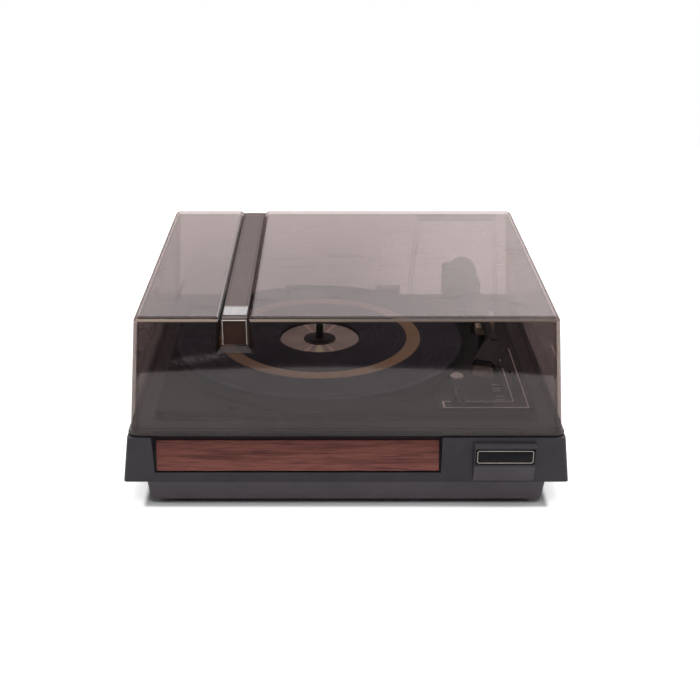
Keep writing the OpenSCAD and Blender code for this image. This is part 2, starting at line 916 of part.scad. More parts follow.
// Bright lines that frame the control bands
module panel_trim() {
  z1 = ctl_top + line_t;
  color("#d2d2d6")
    union() {
      box(ctl_x0 + 7, band_x1, band_y0 - line_w, band_y0, ctl_top, z1);
      box(band_x1 - line_w, band_x1, band_y0 - line_w, ctl_y2 - 10, ctl_top, z1);
      box(ctl_x0 + 6, ctl_x0 + 8, band_y0 - line_w, band_y1 + line_w, ctl_top, z1);
      box(ctl_x0 + 7, band_x0 + line_w, band_y1, band_y1 + line_w, ctl_top, z1);
      box(band_x0, band_x0 + line_w, band_y1, ctl_y0 + 106, ctl_top, z1);
    }
}

// Fixed sleeve that carries the platter
module bearing_post() {
  color("#b0b0b4")
    at_hub()
      difference() {
        union() {
          rod(sleeve_r + 1.9, deck_z - 7, deck_z + 1);
          rod(15, deck_z, race_z);
          rod(sleeve_r, race_z - 1, platter_z - 1.5);
        }
        rod(shank_r + 0.05, deck_z - 8, platter_z);
      }
}

// Two washers of the thrust race
module thrust_washers() {
  color("#c4c4c8")
    at_hub() {
      ring(sleeve_r + 0.4, 11.5, race_z, race_z + washer_t);
      ring(sleeve_r + 0.4, 11.5, hub_foot - washer_t, hub_foot);
    }
}

// Ten balls of the thrust race
module bearing_balls() {
  color("#e2e2e6")
    at_hub()
      for (k = [0:9])
        rotate([0, 0, 36 * k])
          translate([9, 0, race_z + washer_t + ball_gap + ball_r])
            sphere(ball_r);
}

// Short record spindle with a round top
module spindle() {
  color("#232225")
    at_hub()
      union() {
        rod(shank_r, deck_z - 9, platter_z - 1);
        rod(spindle_r, platter_z - 1.5, platter_z + spindle_h - spindle_r);
        translate([0, 0, platter_z + spindle_h - spindle_r])
          sphere(spindle_r);
      }
}

// Laminated stack of the motor
module motor_stack() {
  color("#5b5c60")
    at_motor()
      difference() {
        translate([0, stack_y, stack_z0])
          linear_extrude(stack_z1 - stack_z0)
            rounded(stack_w, stack_d, 3);
        rod(rotor_r + 0.5, stack_z0 - 1, stack_z1 + 1);
        box(-window_w / 2, window_w / 2, window_y0, window_y1, stack_z0 - 1, stack_z1 + 1);
      }
}

// Wound coil on the long limb of the stack
module motor_coil() {
  color("#8a4b2a")
    at_motor()
      difference() {
        translate([0, coil_y, stack_z0 - coil_over])
          linear_extrude(stack_z1 - stack_z0 + 2 * coil_over)
            rounded(coil_w, coil_d, 3);
        box(-coil_w, coil_w, coil_y - limb_half, coil_y + limb_half, stack_z0 - 0.1, stack_z1 + 0.1);
      }
}

// Two plates that hold the motor bearings
module motor_end_plates() {
  color("#8c8d92")
    at_motor() {
      difference() {
        union() {
          translate([0, 0, stack_z1 + 3])
            linear_extrude(2)
              rounded(stack_w, end_d, 3);
          box(-6, 6, -50, -20, stack_z1 + 7.4, stack_z1 + 9);
          box(-6, 6, -24, -20, stack_z1 + 3, stack_z1 + 9);
          for (x = [-27, 27], y = [-26, 26])
            translate([x, y, 0])
              rod(3, stack_z1, stack_z1 + 4);
          for (p = mount_at)
            translate([p[0], p[1], 0])
              rod(2.5, stack_z1 + (p[0] == 0 ? 8 : 4), deck_z + 2.5);
          rod(5, stack_z1 + 4, stack_z1 + 7);
        }
        rod(shaft_r + run_gap, stack_z1, stack_z1 + 20);
      }
      difference() {
        union() {
          translate([0, 0, stack_z0 - 5])
            linear_extrude(2)
              rounded(stack_w, end_d, 3);
          for (x = [-27, 27], y = [-26, 26])
            translate([x, y, 0])
              rod(3, stack_z0 - 4, stack_z0);
        }
        rod(shaft_r + run_gap, stack_z0 - 10, stack_z0);
        box(-18, 18, -40, -22, stack_z0 - 10, stack_z0 - 1);
      }
    }
}

// Rubber mounts of the motor in the deck
module motor_grommets() {
  color("#1b1b1d")
    at_motor()
      for (p = mount_at)
        translate([p[0], p[1], 0])
          difference() {
            union() {
              rod(6, deck_under - 2, deck_under);
              rod(4, deck_under - 1, deck_z + 1);
              rod(6, deck_z, deck_z + 1.5);
            }
            rod(2.55, deck_under - 3, deck_z + 3);
          }
}

// Rotor on its shaft
module motor_rotor() {
  color("#77787d")
    at_motor()
      union() {
        rod(rotor_r, stack_z0, stack_z1);
        rod(shaft_r, stack_z0 - 8, web_z - 1);
      }
}

// Stepped pulley for three speeds
module motor_pulley() {
  color("#c9a24a")
    at_motor()
      difference() {
        union() {
          rod(pulley_r78, deck_z - 2, deck_z + 1.5);
          rod(pulley_r45, deck_z + 1, deck_z + 4.5);
          rod(pulley_r33, deck_z + 4, web_z - 1.2);
        }
        rod(shaft_r, deck_z - 3, web_z);
      }
}

// Lever with the idler stud
module idler_bracket() {
  color("#9c9da2")
    translate([idler_x, idler_y, 0])
      union() {
        rod(5, deck_z, deck_z + 1.5);
        rotate([0, 0, 52])
          box(0, 36, -4, 4, deck_z, deck_z + 1.5);
        rod(3.6, deck_z, idler_z0 - 1);
        rod(stud_r, deck_z, idler_z1 + 1);
      }
}

// Wheel of the idler
module idler_hub() {
  color("#b4b5ba")
    translate([idler_x, idler_y, 0])
      difference() {
        union() {
          rod(idler_r - 4, idler_z0, idler_z1);
          rod(5, idler_z0 - 0.8, idler_z1 + 0.8);
        }
        rod(stud_r + run_gap, idler_z0 - 2, idler_z1 + 2);
      }
}

// Rubber tyre of the idler
module idler_tyre() {
  color("#242426")
    translate([idler_x, idler_y, 0])
      ring(idler_r - 4, idler_r, idler_z0, idler_z1);
}

// Fixed stud of the cycle gear
module gear_stud() {
  color("#a6a7ac")
    translate([gear_x, gear_y, 0])
      union() {
        rod(9, deck_z, deck_z + 1.5);
        rod(gear_stud_r, deck_z, gear_z1 + 0.2);
      }
}

// Cycle gear with its cam rim
module cycle_gear() {
  color("#d9d3c2")
    translate([gear_x, gear_y, 0])
      difference() {
        union() {
          translate([0, 0, gear_z0])
            linear_extrude(gear_z1 - gear_z0)
              gear_outline(gear_n, gear_m, home_teeth / 2, gear_n - home_teeth / 2 - 1,
                gear_turn + 180 + 180 / gear_n);
          rod(9, deck_z + 1.8, gear_z1);
          translate([3, 0, 0])
            ring(23, 26, deck_z + 2.5, gear_z0 + 0.5);
        }
        rod(gear_stud_r + run_gap, deck_z, web_z);
      }
}

// Mains switch box under the deck
module mains_switch() {
  color("#3a3130")
    translate([deck_open_w / 2 - 2 - switch_w, function_y + 12, deck_under])
      box(0, switch_w, 0, switch_d, -switch_h, 0);
}

// Die-cast platter, hollow below
module platter() {
  color("#4a494d")
    at_hub()
      difference() {
        rod(platter_r, rim_z, platter_z);
        rod(rim_in, rim_z - 1, web_z);
        rod(hub_spigot_r, web_z - 1, platter_z + 1);
      }
}

// Turned hub with the cycle pinion
module platter_hub() {
  color("#bcbcc0")
    at_hub()
      difference() {
        union() {
          translate([0, 0, hub_foot])
            linear_extrude(web_z - hub_foot)
              gear_outline(pinion_n, gear_m, 0, pinion_n - 1, gear_turn);
          rod(hub_spigot_r - 0.02, web_z - skin, platter_z);
        }
        rod(sleeve_r + run_gap, hub_foot - 1, platter_z - 1.2);
        rod(spindle_r + 0.6, platter_z - 2, platter_z + 1);
      }
}

// Rubber mat with a seat for the ring
module platter_mat() {
  color("#272328")
    at_hub()
      difference() {
        rod(mat_r, platter_z, mat_z);
        rod(disc_r + 0.2, platter_z - 1, mat_z + 1);
        ring(ring_r0, ring_r1, mat_z - 0.8, mat_z + 1);
      }
}

// Tan ring let into the mat
module mat_ring() {
  color("#736058")
    at_hub()
      ring(ring_r0 + 0.05, ring_r1 - 0.05, mat_z - 0.8, mat_z);
}

// Turned disc in the middle of the mat
module trim_disc() {
  color("#8a807e")
    at_hub()
      ring(cap_r + 0.1, disc_r, platter_z, platter_z + 0.8);
}

// Black cap round the spindle
module hub_cap() {
  color("#1d1b1e")
    at_hub()
      difference() {
        union() {
          rod(cap_r, platter_z, platter_z + 1.2);
          rod(cap_r - 4, platter_z, platter_z + 2.4);
        }
        rod(spindle_r + 0.6, platter_z - 1, platter_z + 4);
      }
}

// Fixed pedestal of the tonearm
module arm_base() {
  color("#232225")
    translate([arm_x, arm_y, 0])
      difference() {
        union() {
          rod(19, deck_z, deck_z + 3);
          rod(15, deck_z + 2, base_top);
        }
        rod(shaft_post_r + run_gap, deck_z - 1, base_top + 1);
      }
}

// Turning yoke with the bearing ears
module arm_yoke() {
  color("#2b2a2d")
    at_arm()
      difference() {
        union() {
          rod(shaft_post_r, deck_z - 4, yoke_foot + 1);
          rod(17, yoke_foot, yoke_foot + 4);
          box(-9, 9, ear_in, ear_out, yoke_foot + 3, ear_top);
          box(-9, 9, -ear_out, -ear_in, yoke_foot + 3, hood_z);
        }
        translate([0, 0, arm_z])
          rod_y(pivot_r + 0.02, -20, 20);
      }
}

// Hood on the left ear of the yoke, with a skirt down its left side
module pivot_hood() {
  color("#1f1e20")
    at_arm()
      difference() {
        along_x(-15, 15)
          polygon([[-hood_left, yoke_foot + 5], [-ear_out, yoke_foot + 5], [-ear_out, hood_z],
            [ear_out - hood_slope / 3, hood_z], [ear_out - hood_slope, hood_z + hood_h - 1],
            [ear_out - hood_slope - 2, hood_z + hood_h], [3 - hood_left, hood_z + hood_h],
            [-hood_left, hood_z + hood_h - 3]]);
        box(-12, 12, 2.5 - hood_left, -ear_out - 2, yoke_foot, hood_z + hood_h - 3);
        translate([0, 0, arm_z])
          rod_y(4, -ear_out - 3, 1 - ear_out);
      }
}

// Two bearing screws in the yoke
module pivot_screws() {
  color("#c2c2c6")
    at_arm()
      translate([0, 0, arm_z]) {
        for (s = [-1, 1])
          rotate([0, 0, s > 0 ? 0 : 180]) {
            rod_y(pivot_r, block_w / 2 - 3.5, ear_out);
            rod_y(3.2, ear_out, ear_out + 1.2);
          }
      }
}

// Bearing block of the arm with its rear stub
module arm_block() {
  color("#29282b")
    at_arm()
      translate([0, 0, arm_z])
        difference() {
          union() {
            box(-14, 16, -block_w / 2, block_w / 2, -6.5, 6.5);
            rod_x(stub_r, stub_end, -13);
          }
          rod_y(pivot_r + run_gap, block_w / 2 - 4.1, 20);
          rod_y(pivot_r + run_gap, -20, 4.1 - block_w / 2);
          rod_x(tube_r, 4, 20);
        }
}

// Straight black tube of the arm
module arm_tube() {
  color("#1d1c1e")
    at_arm()
      translate([0, 0, arm_z])
        difference() {
          rod_x(tube_r, 4, tube_end);
          rod_x(tube_r - 0.8, 3, tube_end + 1);
        }
}

// Head with a collar on the tube and a finger tab
module headshell() {
  color("#19181a")
    union() {
      at_arm()
        translate([0, 0, arm_z])
          difference() {
            rod_x(tube_r + 1.6, tube_end - 8, neck_l);
            rod_x(tube_r, tube_end - 9, tube_end);
          }
      at_head()
        difference() {
          along_x(-3, head_l)
            polygon([[-head_w / 2, -head_t], [head_w / 2, -head_t], [head_w / 2, 1],
              [head_w / 2 - 3, head_t], [-head_w / 2 + 3, head_t], [-head_w / 2, 1]]);
          box(8, head_l + 1, -head_w / 2 + 2, head_w / 2 - 2, -head_t - 1, 2);
        }
      at_head()
        box(head_l - 10, head_l, head_w / 2 - 1, head_w / 2 + 9, -1, 0.2);
    }
}

// Bright front plate of the head
module head_plate() {
  color("#c9bdb9")
    at_head()
      box(head_l, head_l + 1, -head_w / 2 + 1, head_w / 2 - 1, -cartridge_drop, -head_t + 1.5);
}

// Pickup cartridge under the head
module cartridge() {
  color("#b8a99c")
    at_head()
      union() {
        box(12, head_l - 5, -head_w / 2 + 2.5, head_w / 2 - 2.5, -cartridge_drop + 3, 2);
        box(20, head_l - 5, -5, 5, -cartridge_drop, -cartridge_drop + 4);
      }
}

// Stylus holder with its needle
module stylus() {
  color("#d4cfc8")
    at_head()
      union() {
        box(head_l - 5, head_l - 1.5, -2.5, 2.5, -cartridge_drop - 1, -cartridge_drop + 3.4);
        translate([head_l - 7.5, 0, 0]) {
          box(0, 4, -0.6, 0.6, -cartridge_drop - 1, -cartridge_drop);
          translate([1, 0, -stylus_drop])
            cylinder(r1 = 0.2, r2 = 0.6, h = stylus_drop - cartridge_drop);
        }
      }
}

// Weight that slides on the rear stub
module counterweight() {
  color("#343336")
    at_arm()
      translate([0, 0, arm_z])
        difference() {
          union() {
            rod_x(weight_r, weight_x, weight_x + weight_l - 6);
            rod_x(weight_r - 2, weight_x + weight_l - 6.5, weight_x + weight_l);
          }
          rod_x(stub_r + run_gap, weight_x - 1, weight_x + weight_l + 1);
        }
}

// Post of the arm rest
module arm_rest_post() {
  color("#2a292b")
    at_arm()
      translate([rest_l, 0, 0])
        union() {
          rod(rest_base_r, deck_z, deck_z + 2);
          rod(4.5, deck_z + 1, arm_z - tube_r - 8);
        }
}

// Cream cradle of the arm rest, open towards the platter
module arm_rest_clip() {
  z0 = arm_z - tube_r - 8;
  z1 = arm_z - tube_r - roll_gap;
  color("#d9cbb2")
    at_arm()
      translate([rest_l, 0, 0])
        union() {
          box(-6, 6, -8, tube_r + 5, z0, z1);
          box(-6, 6, tube_r + roll_gap, tube_r + 5, z1 - 1, arm_z + 8);
        }
}

// Bracket and pin under the deck for the cue lever
module cue_bracket() {
  color("#8f9095")
    translate([cue_x, cue_y, 0]) {
      union() {
        for (s = [-1, 1])
          box(s * 6.2 - 1, s * 6.2 + 1, -4, 4, cue_axis_z - 4, deck_under);
        translate([0, 0, cue_axis_z])
          rod_x(cue_pin_r, -7.2, 7.2);
      }
    }
}

// Cue lever with a round knob
module cue_lever() {
  color("#c6c6ca")
    translate([cue_x, cue_y, 0])
      difference() {
        union() {
          translate([0, 0, cue_axis_z])
            rod_x(3.6, -4.6, 4.6);
          rod(1.5, cue_axis_z, cue_top - 2);
          rod(cue_knob_r, cue_top - 2.2, cue_top - 0.8);
          translate([0, 0, cue_top - 0.8])
            cylinder(r1 = cue_knob_r, r2 = cue_knob_r - 1.2, h = 0.8);
        }
        translate([0, 0, cue_axis_z])
          rod_x(cue_pin_r + run_gap, -10, 10);
      }
}

// Lift platform under the tube
module cue_lift() {
  color("#454448")
    at_arm()
      translate([lift_l, 0, 0])
        union() {
          rod(rod_r, deck_under - 8, lift_top - 1);
          box(-4, 4, -20, 8, lift_top - 3, lift_top);
        }
}

// Knob of the speed slide
module speed_knob() {
  color("#2d2c2f")
    translate([speed_x, speed_y, 0])
      union() {
        box(-stem_l / 2, stem_l / 2, -stem_w / 2, stem_w / 2, deck_under - 3, ctl_top + 1);
        along_y(-4, 4)
          polygon([[-6, ctl_top + 0.3], [6, ctl_top + 0.3], [6, ctl_top + 2],
            [2, ctl_top + 6], [-2, ctl_top + 6], [-6, ctl_top + 2]]);
      }
}

// Knob of the function slide
module function_knob() {
  color("#2d2c2f")
    translate([function_x, function_y, 0])
      union() {
        box(-stem_w / 2, stem_w / 2, -stem_l / 2, stem_l / 2, deck_under - 3, ctl_top + 1);
        along_x(-4, 4)
          polygon([[-6, ctl_top + 0.3], [6, ctl_top + 0.3], [6, ctl_top + 2],
            [2, ctl_top + 6], [-2, ctl_top + 6], [-6, ctl_top + 2]]);
      }
}

plinth();
base_tray();
wood_panel();
name_plate();
bottom_board();
rubber_feet();
board_screws();
cover_bumpers();
lead_grommets();
hinge_brackets();
hinge_pins();
deck_plate();
suspension_springs();
transit_screws();
control_panel();
panel_trim();
bearing_post();
thrust_washers();
bearing_balls();
spindle();
motor_stack();
motor_coil();
motor_end_plates();
motor_grommets();
idler_bracket();
gear_stud();
mains_switch();
arm_base();
arm_rest_post();
arm_rest_clip();
cue_bracket();
dust_cover();
cover_strip();
cover_badge();
hinge_leaves();
platter();
platter_hub();
platter_mat();
mat_ring();
trim_disc();
hub_cap();
motor_rotor();
motor_pulley();
idler_hub();
idler_tyre();
cycle_gear();
arm_yoke();
pivot_hood();
pivot_screws();
arm_block();
arm_tube();
headshell();
head_plate();
cartridge();
stylus();
counterweight();
cue_lever();
cue_lift();
speed_knob();
function_knob();
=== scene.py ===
"""Looks of the record changer turntable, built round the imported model.

Every object is in metres, in the model's own frame: x right, y rear, z up.
"""

import json
import math

import bmesh
import bpy
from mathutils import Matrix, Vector


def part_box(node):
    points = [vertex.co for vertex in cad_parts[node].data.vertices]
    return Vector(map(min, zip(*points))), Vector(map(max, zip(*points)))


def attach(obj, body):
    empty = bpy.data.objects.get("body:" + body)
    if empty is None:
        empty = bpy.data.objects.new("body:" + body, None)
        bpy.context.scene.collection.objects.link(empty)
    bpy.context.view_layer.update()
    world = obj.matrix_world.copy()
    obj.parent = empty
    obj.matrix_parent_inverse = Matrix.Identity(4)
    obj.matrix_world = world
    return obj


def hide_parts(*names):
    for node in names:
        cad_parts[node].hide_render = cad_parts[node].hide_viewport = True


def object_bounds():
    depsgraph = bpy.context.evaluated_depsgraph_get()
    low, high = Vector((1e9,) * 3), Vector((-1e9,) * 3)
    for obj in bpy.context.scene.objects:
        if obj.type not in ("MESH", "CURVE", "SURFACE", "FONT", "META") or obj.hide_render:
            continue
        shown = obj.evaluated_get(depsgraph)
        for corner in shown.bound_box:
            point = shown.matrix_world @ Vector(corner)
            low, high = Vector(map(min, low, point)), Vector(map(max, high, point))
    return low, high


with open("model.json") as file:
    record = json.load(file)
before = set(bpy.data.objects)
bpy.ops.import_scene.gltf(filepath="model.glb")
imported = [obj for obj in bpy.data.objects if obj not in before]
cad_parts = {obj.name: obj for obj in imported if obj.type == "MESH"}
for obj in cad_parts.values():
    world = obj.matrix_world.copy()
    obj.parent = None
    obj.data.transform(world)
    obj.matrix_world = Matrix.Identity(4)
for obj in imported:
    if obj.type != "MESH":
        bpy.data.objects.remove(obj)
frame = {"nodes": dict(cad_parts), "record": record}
CAD_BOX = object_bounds()
NODES = frame["nodes"]
MM = 0.001

# Camera that matches the photograph
CAMERA_AT = (-0.0136, -1.0500, 0.5423)
CAMERA_TILT = math.radians(66.012)
CAMERA_LENS = 59.95
CAMERA_SENSOR = 36
CAMERA_SHIFT_X = 0.0278

# Round table top that the player stands on
TABLE_RADIUS = 1.0
TABLE_CENTRE = (-0.016, 0.38)

# White that the camera sees on the table: it grows over a narrow line at the foot of the
# tray, and again over a wide soft band
LINE_WIDTH, LINE_WHITE = 6 * MM, 0.66
BAND_FROM, BAND_TO, BAND_WHITE = 60 * MM, 340 * MM, 0.34

# Painted grey shade on the table behind the player, where the camera's white is taken away: the
# spans where it fades in and out across and where it fades out rearward, how far ahead of the
# tray's rear edge it starts, and its depth
SHADE_LEFT, SHADE_RIGHT, SHADE_REAR = (-0.25, -0.20), (0.0, 0.09), (0.38, 0.70)
SHADE_START, SHADE_DEPTH = 60 * MM, 0.93

# Level of the light round the object, and the directions over which it changes
FILL_FRONT, FILL_BACK = 0.06, 0.55
SHEEN_FRONT, SHEEN_BACK, SHEEN_RIGHT = 0.02, 0.95, 1.35
TO_BACK, TO_RIGHT = (-0.45, 0.10), (0.02, 0.14)
WHITE = (1.0, 1.0, 1.0, 1.0)


def srgb(red, green, blue):
    """Linear colour of an 8-bit screen colour."""

    def channel(value):
        share = value / 255
        return share / 12.92 if share <= 0.04045 else ((share + 0.055) / 1.055) ** 2.4

    return (channel(red), channel(green), channel(blue), 1.0)


def darker(colour, share):
    """Colour with each channel brought down to a share."""
    return tuple(share * channel for channel in colour[:3]) + (1.0,)


class Shader:
    """A node tree, with short calls to add nodes and join them."""

    def __init__(self, owner):
        owner.use_nodes = True
        self.owner = owner
        self.nodes = owner.node_tree.nodes
        self.links = owner.node_tree.links
        self.surface = self.nodes.get("Principled BSDF")
        self.output = self.nodes.get("Material Output") or self.nodes.get("World Output")

    def feed(self, socket, value):
        """Joins a socket to another one, or sets it to a constant."""
        if isinstance(value, bpy.types.NodeSocket):
            self.links.new(value, socket)
        else:
            socket.default_value = value

    def add(self, kind, settings=None, **inputs):
        """Adds a node with its settings, and feeds the inputs that are named."""
        node = self.nodes.new("ShaderNode" + kind)
        for key, value in (settings or {}).items():
            setattr(node, key, value)
        for key, value in inputs.items():
            self.feed(node.inputs[key.replace("_", " ")], value)
        return node

    def set(self, **inputs):
        """Feeds named inputs of the main surface."""
        for key, value in inputs.items():
            self.feed(self.surface.inputs[key.replace("_", " ")], value)

    def finish(self, shader):
        """Makes a shader the one that shows."""
        self.feed(self.output.inputs["Surface"], shader)

    def layer(self, share, below, above):
        """Two shaders mixed by a share."""
        node = self.add("MixShader", Fac=share)
        self.feed(node.inputs[1], below)
        self.feed(node.inputs[2], above)
        return node.outputs[0]

    def where(self, scale=(1, 1, 1), shift=(0, 0, 0), turn=(0, 0, 0)):
        """Place on the object, in metres, stretched, turned and shifted."""
        place = self.add("TexCoord").outputs["Object"]
        return self.add("Mapping", Vector=place, Scale=scale, Location=shift, Rotation=turn).outputs[0]

    def noise(self, scale, detail=3.0, vector=None, rough=0.5, warp=0.0):
        """Cloudy value from 0 to 1."""
        vector = vector or self.where()
        node = self.add("TexNoise", Vector=vector, Scale=scale, Detail=detail)
        self.feed(node.inputs["Roughness"], rough)
        self.feed(node.inputs["Distortion"], warp)
        return node.outputs[0]

    def math(self, operation, first, second=0.0):
        """Result of one operation on two values."""
        node = self.nodes.new("ShaderNodeMath")
        node.operation = operation
        self.feed(node.inputs[0], first)
        self.feed(node.inputs[1], second)
        return node.outputs[0]

    def fold(self, operation, first, *others):
        """Result of one operation on several values in turn."""
        for other in others:
            first = self.math(operation, first, other)
        return first

    def times(self, *values):
        """Product of several values."""
        return self.fold("MULTIPLY", *values)

    def plus(self, *values):
        """Sum of several values."""
        return self.fold("ADD", *values)

    def minus(self, first, second):
        """Difference of two values."""
        return self.math("SUBTRACT", first, second)

    def most(self, *values):
        """Largest of several values."""
        return self.fold("MAXIMUM", *values)

    def span(self, value, low, high, start=0.0, end=1.0, smooth=False):
        """Value carried from the span low to high onto start to end."""
        kind = "SMOOTHSTEP" if smooth else "LINEAR"
        node = self.add("MapRange", {"interpolation_type": kind})
        for index, number in enumerate((value, low, high, start, end)):
            self.feed(node.inputs[index], number)
        return node.outputs[0]

    def window(self, value, low, high, soft):
        """Share that is 1 between two values and fades out beyond them."""
        return self.times(self.span(value, low - soft, low), self.span(value, high, high + soft, 1.0, 0.0))

    def ramp(self, value, stops):
        """Colour picked by a value from stops of place and colour."""
        node = self.add("ValToRGB", Fac=value)
        elements = node.color_ramp.elements
        while len(elements) < len(stops):
            elements.new(0.5)
        for element, (place, colour) in zip(elements, stops):
            element.position = place
            element.color = colour
        return node.outputs[0]

    def mix(self, share, first, second):
        """Two colours mixed by a share."""
        node = self.add("Mix", {"data_type": "RGBA"})
        self.feed(node.inputs[0], share)
        self.feed(node.inputs[6], first)
        self.feed(node.inputs[7], second)
        return node.outputs[2]

    def bump(self, height, strength, distance):
        """Surface direction bent by a height."""
        return self.add("Bump", Height=height, Strength=strength, Distance=distance).outputs[0]


def material(name):
    """Shader of a new material."""
    return Shader(bpy.data.materials.new(name))


# Materials

HUB = tuple((low + high) / 2 for low, high in zip(*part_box("trim_disc")))
STRIP_LOW, STRIP_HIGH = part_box("cover_strip")

# Zones of the cover: the heights over which its top begins, the channel of the strip and the
# heights over which the painted glint on the channel's edge begins, and the bulge at the rear
TOP_FROM = (STRIP_LOW.z - 2 * MM, STRIP_LOW.z)
CHANNEL = (STRIP_LOW.x - 6 * MM, STRIP_HIGH.x + 6 * MM)
CHANNEL_GLINT_HEIGHTS = (STRIP_HIGH.z + 1.2 * MM, STRIP_HIGH.z + 2.2 * MM)
BULGE_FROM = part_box("dust_cover")[1].y - 11 * MM

# Light that passes one wall of the cover: straight on, at a slant, and at its bends,
# upright corners and bulge; the darker bands at bends, corners and bulge are partly the longer
# path through the sheet and partly painted shade for the light that refraction turns away there
TINT_STRAIGHT = (0.675, 0.637, 0.635, 1.0)
TINT_SLANTED = (0.585, 0.53, 0.52, 1.0)
TINT_BEND = (0.30, 0.25, 0.24, 1.0)
TINT_CORNER = (0.37, 0.305, 0.245, 1.0)
TINT_BULGE = (0.36, 0.30, 0.34, 1.0)

# Share of light that the cover mirrors straight on, and how far dull places hold it down
MIRRORED, DULLED = 0.048, 0.35

# Dust on the top of the cover: least and most, and the painted light added to the right over a span
DUST_LEAST, DUST_MOST = 0.105, 0.150
RIGHT_PAINTED_LIGHT, RIGHT_LIGHT_SPAN = 0.035, (0.0, 0.14)

# Painted glints on the edges of the cover: their strength, and the span over which the front one fades
EDGE_GLINT_STRENGTH = 0.62
FRONT_GLINT_SPAN, FRONT_GLINT_LEAST = (-0.18, 0.08), 0.40

# Scuffed patch on the front of the cover: its place across and up, its reach, slope and strength
SCUFF_AT = (-0.122, 0.1375)
SCUFF_LEFT, SCUFF_RIGHT = 16 * MM, 14 * MM
SCUFF_RISE, SCUFF_STRENGTH = 0.16, 0.26

# Hairline crack in the front of the cover: its place across and up, its reach, slope and strength
CRACK_AT = (-0.055, 0.080)
CRACK_DOWN, CRACK_UP = 12 * MM, 8 * MM
CRACK_LEAN, CRACK_STRENGTH = -0.30, 0.28


def mottled(name, dark, light, rough, grain=1800.0, depth=0.10, patch=35.0, metallic=0.0, shine=0.5):
    """Moulded or painted surface with soft patches, a fine grain and uneven gloss."""
    s = material(name)
    s.set(Base_Color=s.ramp(s.noise(patch, 4.0), [(0.35, dark), (0.65, light)]), Metallic=metallic)
    s.set(Specular_IOR_Level=shine, Roughness=s.span(s.noise(patch * 5, 3.0), 0.3, 0.7, *rough))
    s.set(Normal=s.bump(s.noise(grain, 2.0), depth, 0.2 * MM))
    return s.owner


def walnut():
    """Wood with long grain along x, fine pores and a satin lacquer."""
    s = material("walnut")
    bands = s.noise(1.0, 6.0, s.where(scale=(7, 330, 330)), rough=0.62, warp=0.9)
    figure = s.noise(1.0, 3.0, s.where(scale=(5, 60, 60), shift=(3, 1, 2)), warp=1.6)
    streaks = s.noise(1.0, 5.0, s.where(scale=(26, 1150, 1150), shift=(1, 4, 2)), rough=0.6)
    average = s.times(s.plus(bands, figure, streaks), 0.333)
    tone = s.ramp(average, [(0.38, srgb(94, 49, 46)), (0.47, srgb(130, 74, 67)),
                            (0.54, srgb(162, 96, 85)), (0.64, srgb(112, 62, 57))])
    pores = s.noise(1.0, 2.0, s.where(scale=(48, 1700, 1700)), rough=0.6)
    lines = s.span(pores, 0.52, 0.68, 0.0, 0.60)
    s.set(Base_Color=s.mix(lines, tone, srgb(58, 30, 28)))
    s.set(Roughness=s.span(bands, 0.3, 0.7, 0.34, 0.46))
    s.set(Normal=s.bump(pores, 0.14, 0.2 * MM), Coat_Weight=0.15, Coat_Roughness=0.25)
    return s.owner


class CoverPoint:
    """Sockets that tell where a point of the cover lies and which way it faces."""

    def __init__(self, s):
        coordinates = s.add("TexCoord")
        place = s.add("SeparateXYZ", Vector=coordinates.outputs["Object"]).outputs
        normal = s.add("SeparateXYZ", Vector=coordinates.outputs["Normal"]).outputs
        self.x, self.y, self.z = place["X"], place["Y"], place["Z"]
        self.rightward, self.upward = normal["X"], normal["Z"]
        self.forward = s.times(normal["Y"], -1.0)
        self.sideways = s.math("ABSOLUTE", normal["X"])
        self.slant = s.add("LayerWeight", Blend=0.5).outputs["Facing"]
        self.high_up = s.span(self.z, *TOP_FROM)
        self.bend = s.window(self.upward, 0.30, 0.90, 0.10)
        # band along the front top edge that takes a painted glint
        self.front_glint = s.times(s.span(self.forward, 0.5, 0.7), s.window(self.upward, 0.40, 0.56, 0.10))
        behind = s.span(self.y, BULGE_FROM, BULGE_FROM + MM)
        self.bulge = s.times(behind, s.span(self.sideways, 0.5, 0.8))


def cover_tint(s, at):
    """Colour of the light that passes the cover, darker at bends, corners and bulge, partly by longer path
    and partly as painted shade.
    """
    corner = s.times(s.window(at.sideways, 0.35, 0.88, 0.10), s.span(at.upward, 0.05, 0.20, 1.0, 0.0))
    through = s.mix(s.span(at.slant, 0.0, 0.75), TINT_STRAIGHT, TINT_SLANTED)
    # painted shade, in part: darker bands at the bends, corners and bulge
    bent = s.mix(at.bend, through, TINT_BEND)
    cornered = s.mix(s.times(corner, 0.85), bent, TINT_CORNER)
    return s.mix(at.bulge, cornered, TINT_BULGE)


def cover_mirror(s, at):
    """Share of light that the cover mirrors: more at a slant, less on its ledge, bends and bulge."""
    ledge = s.times(s.span(at.upward, 0.2, 0.4), s.minus(1.0, at.high_up))
    mirrored = s.span(s.math("POWER", at.slant, 5.0), 0.0, 1.0, MIRRORED, 1.0)
    dull = s.most(ledge, at.bend, at.bulge)
    return s.times(mirrored, s.span(dull, 0.0, 1.0, 1.0, DULLED))


def hairlines(s):
    """Fine scratches along and across the cover, in patches."""
    along = s.noise(1.0, 2.0, s.where(scale=(24, 190, 300), turn=(0, 0, 0.12)), warp=0.6)
    across = s.noise(1.0, 2.0, s.where(scale=(380, 14, 14), turn=(0, 0, 0.6)), warp=0.4)
    lines = s.most(s.span(along, 0.60, 0.65), s.span(across, 0.63, 0.70))
    return s.times(lines, s.span(s.noise(13, 3.0), 0.46, 0.54))


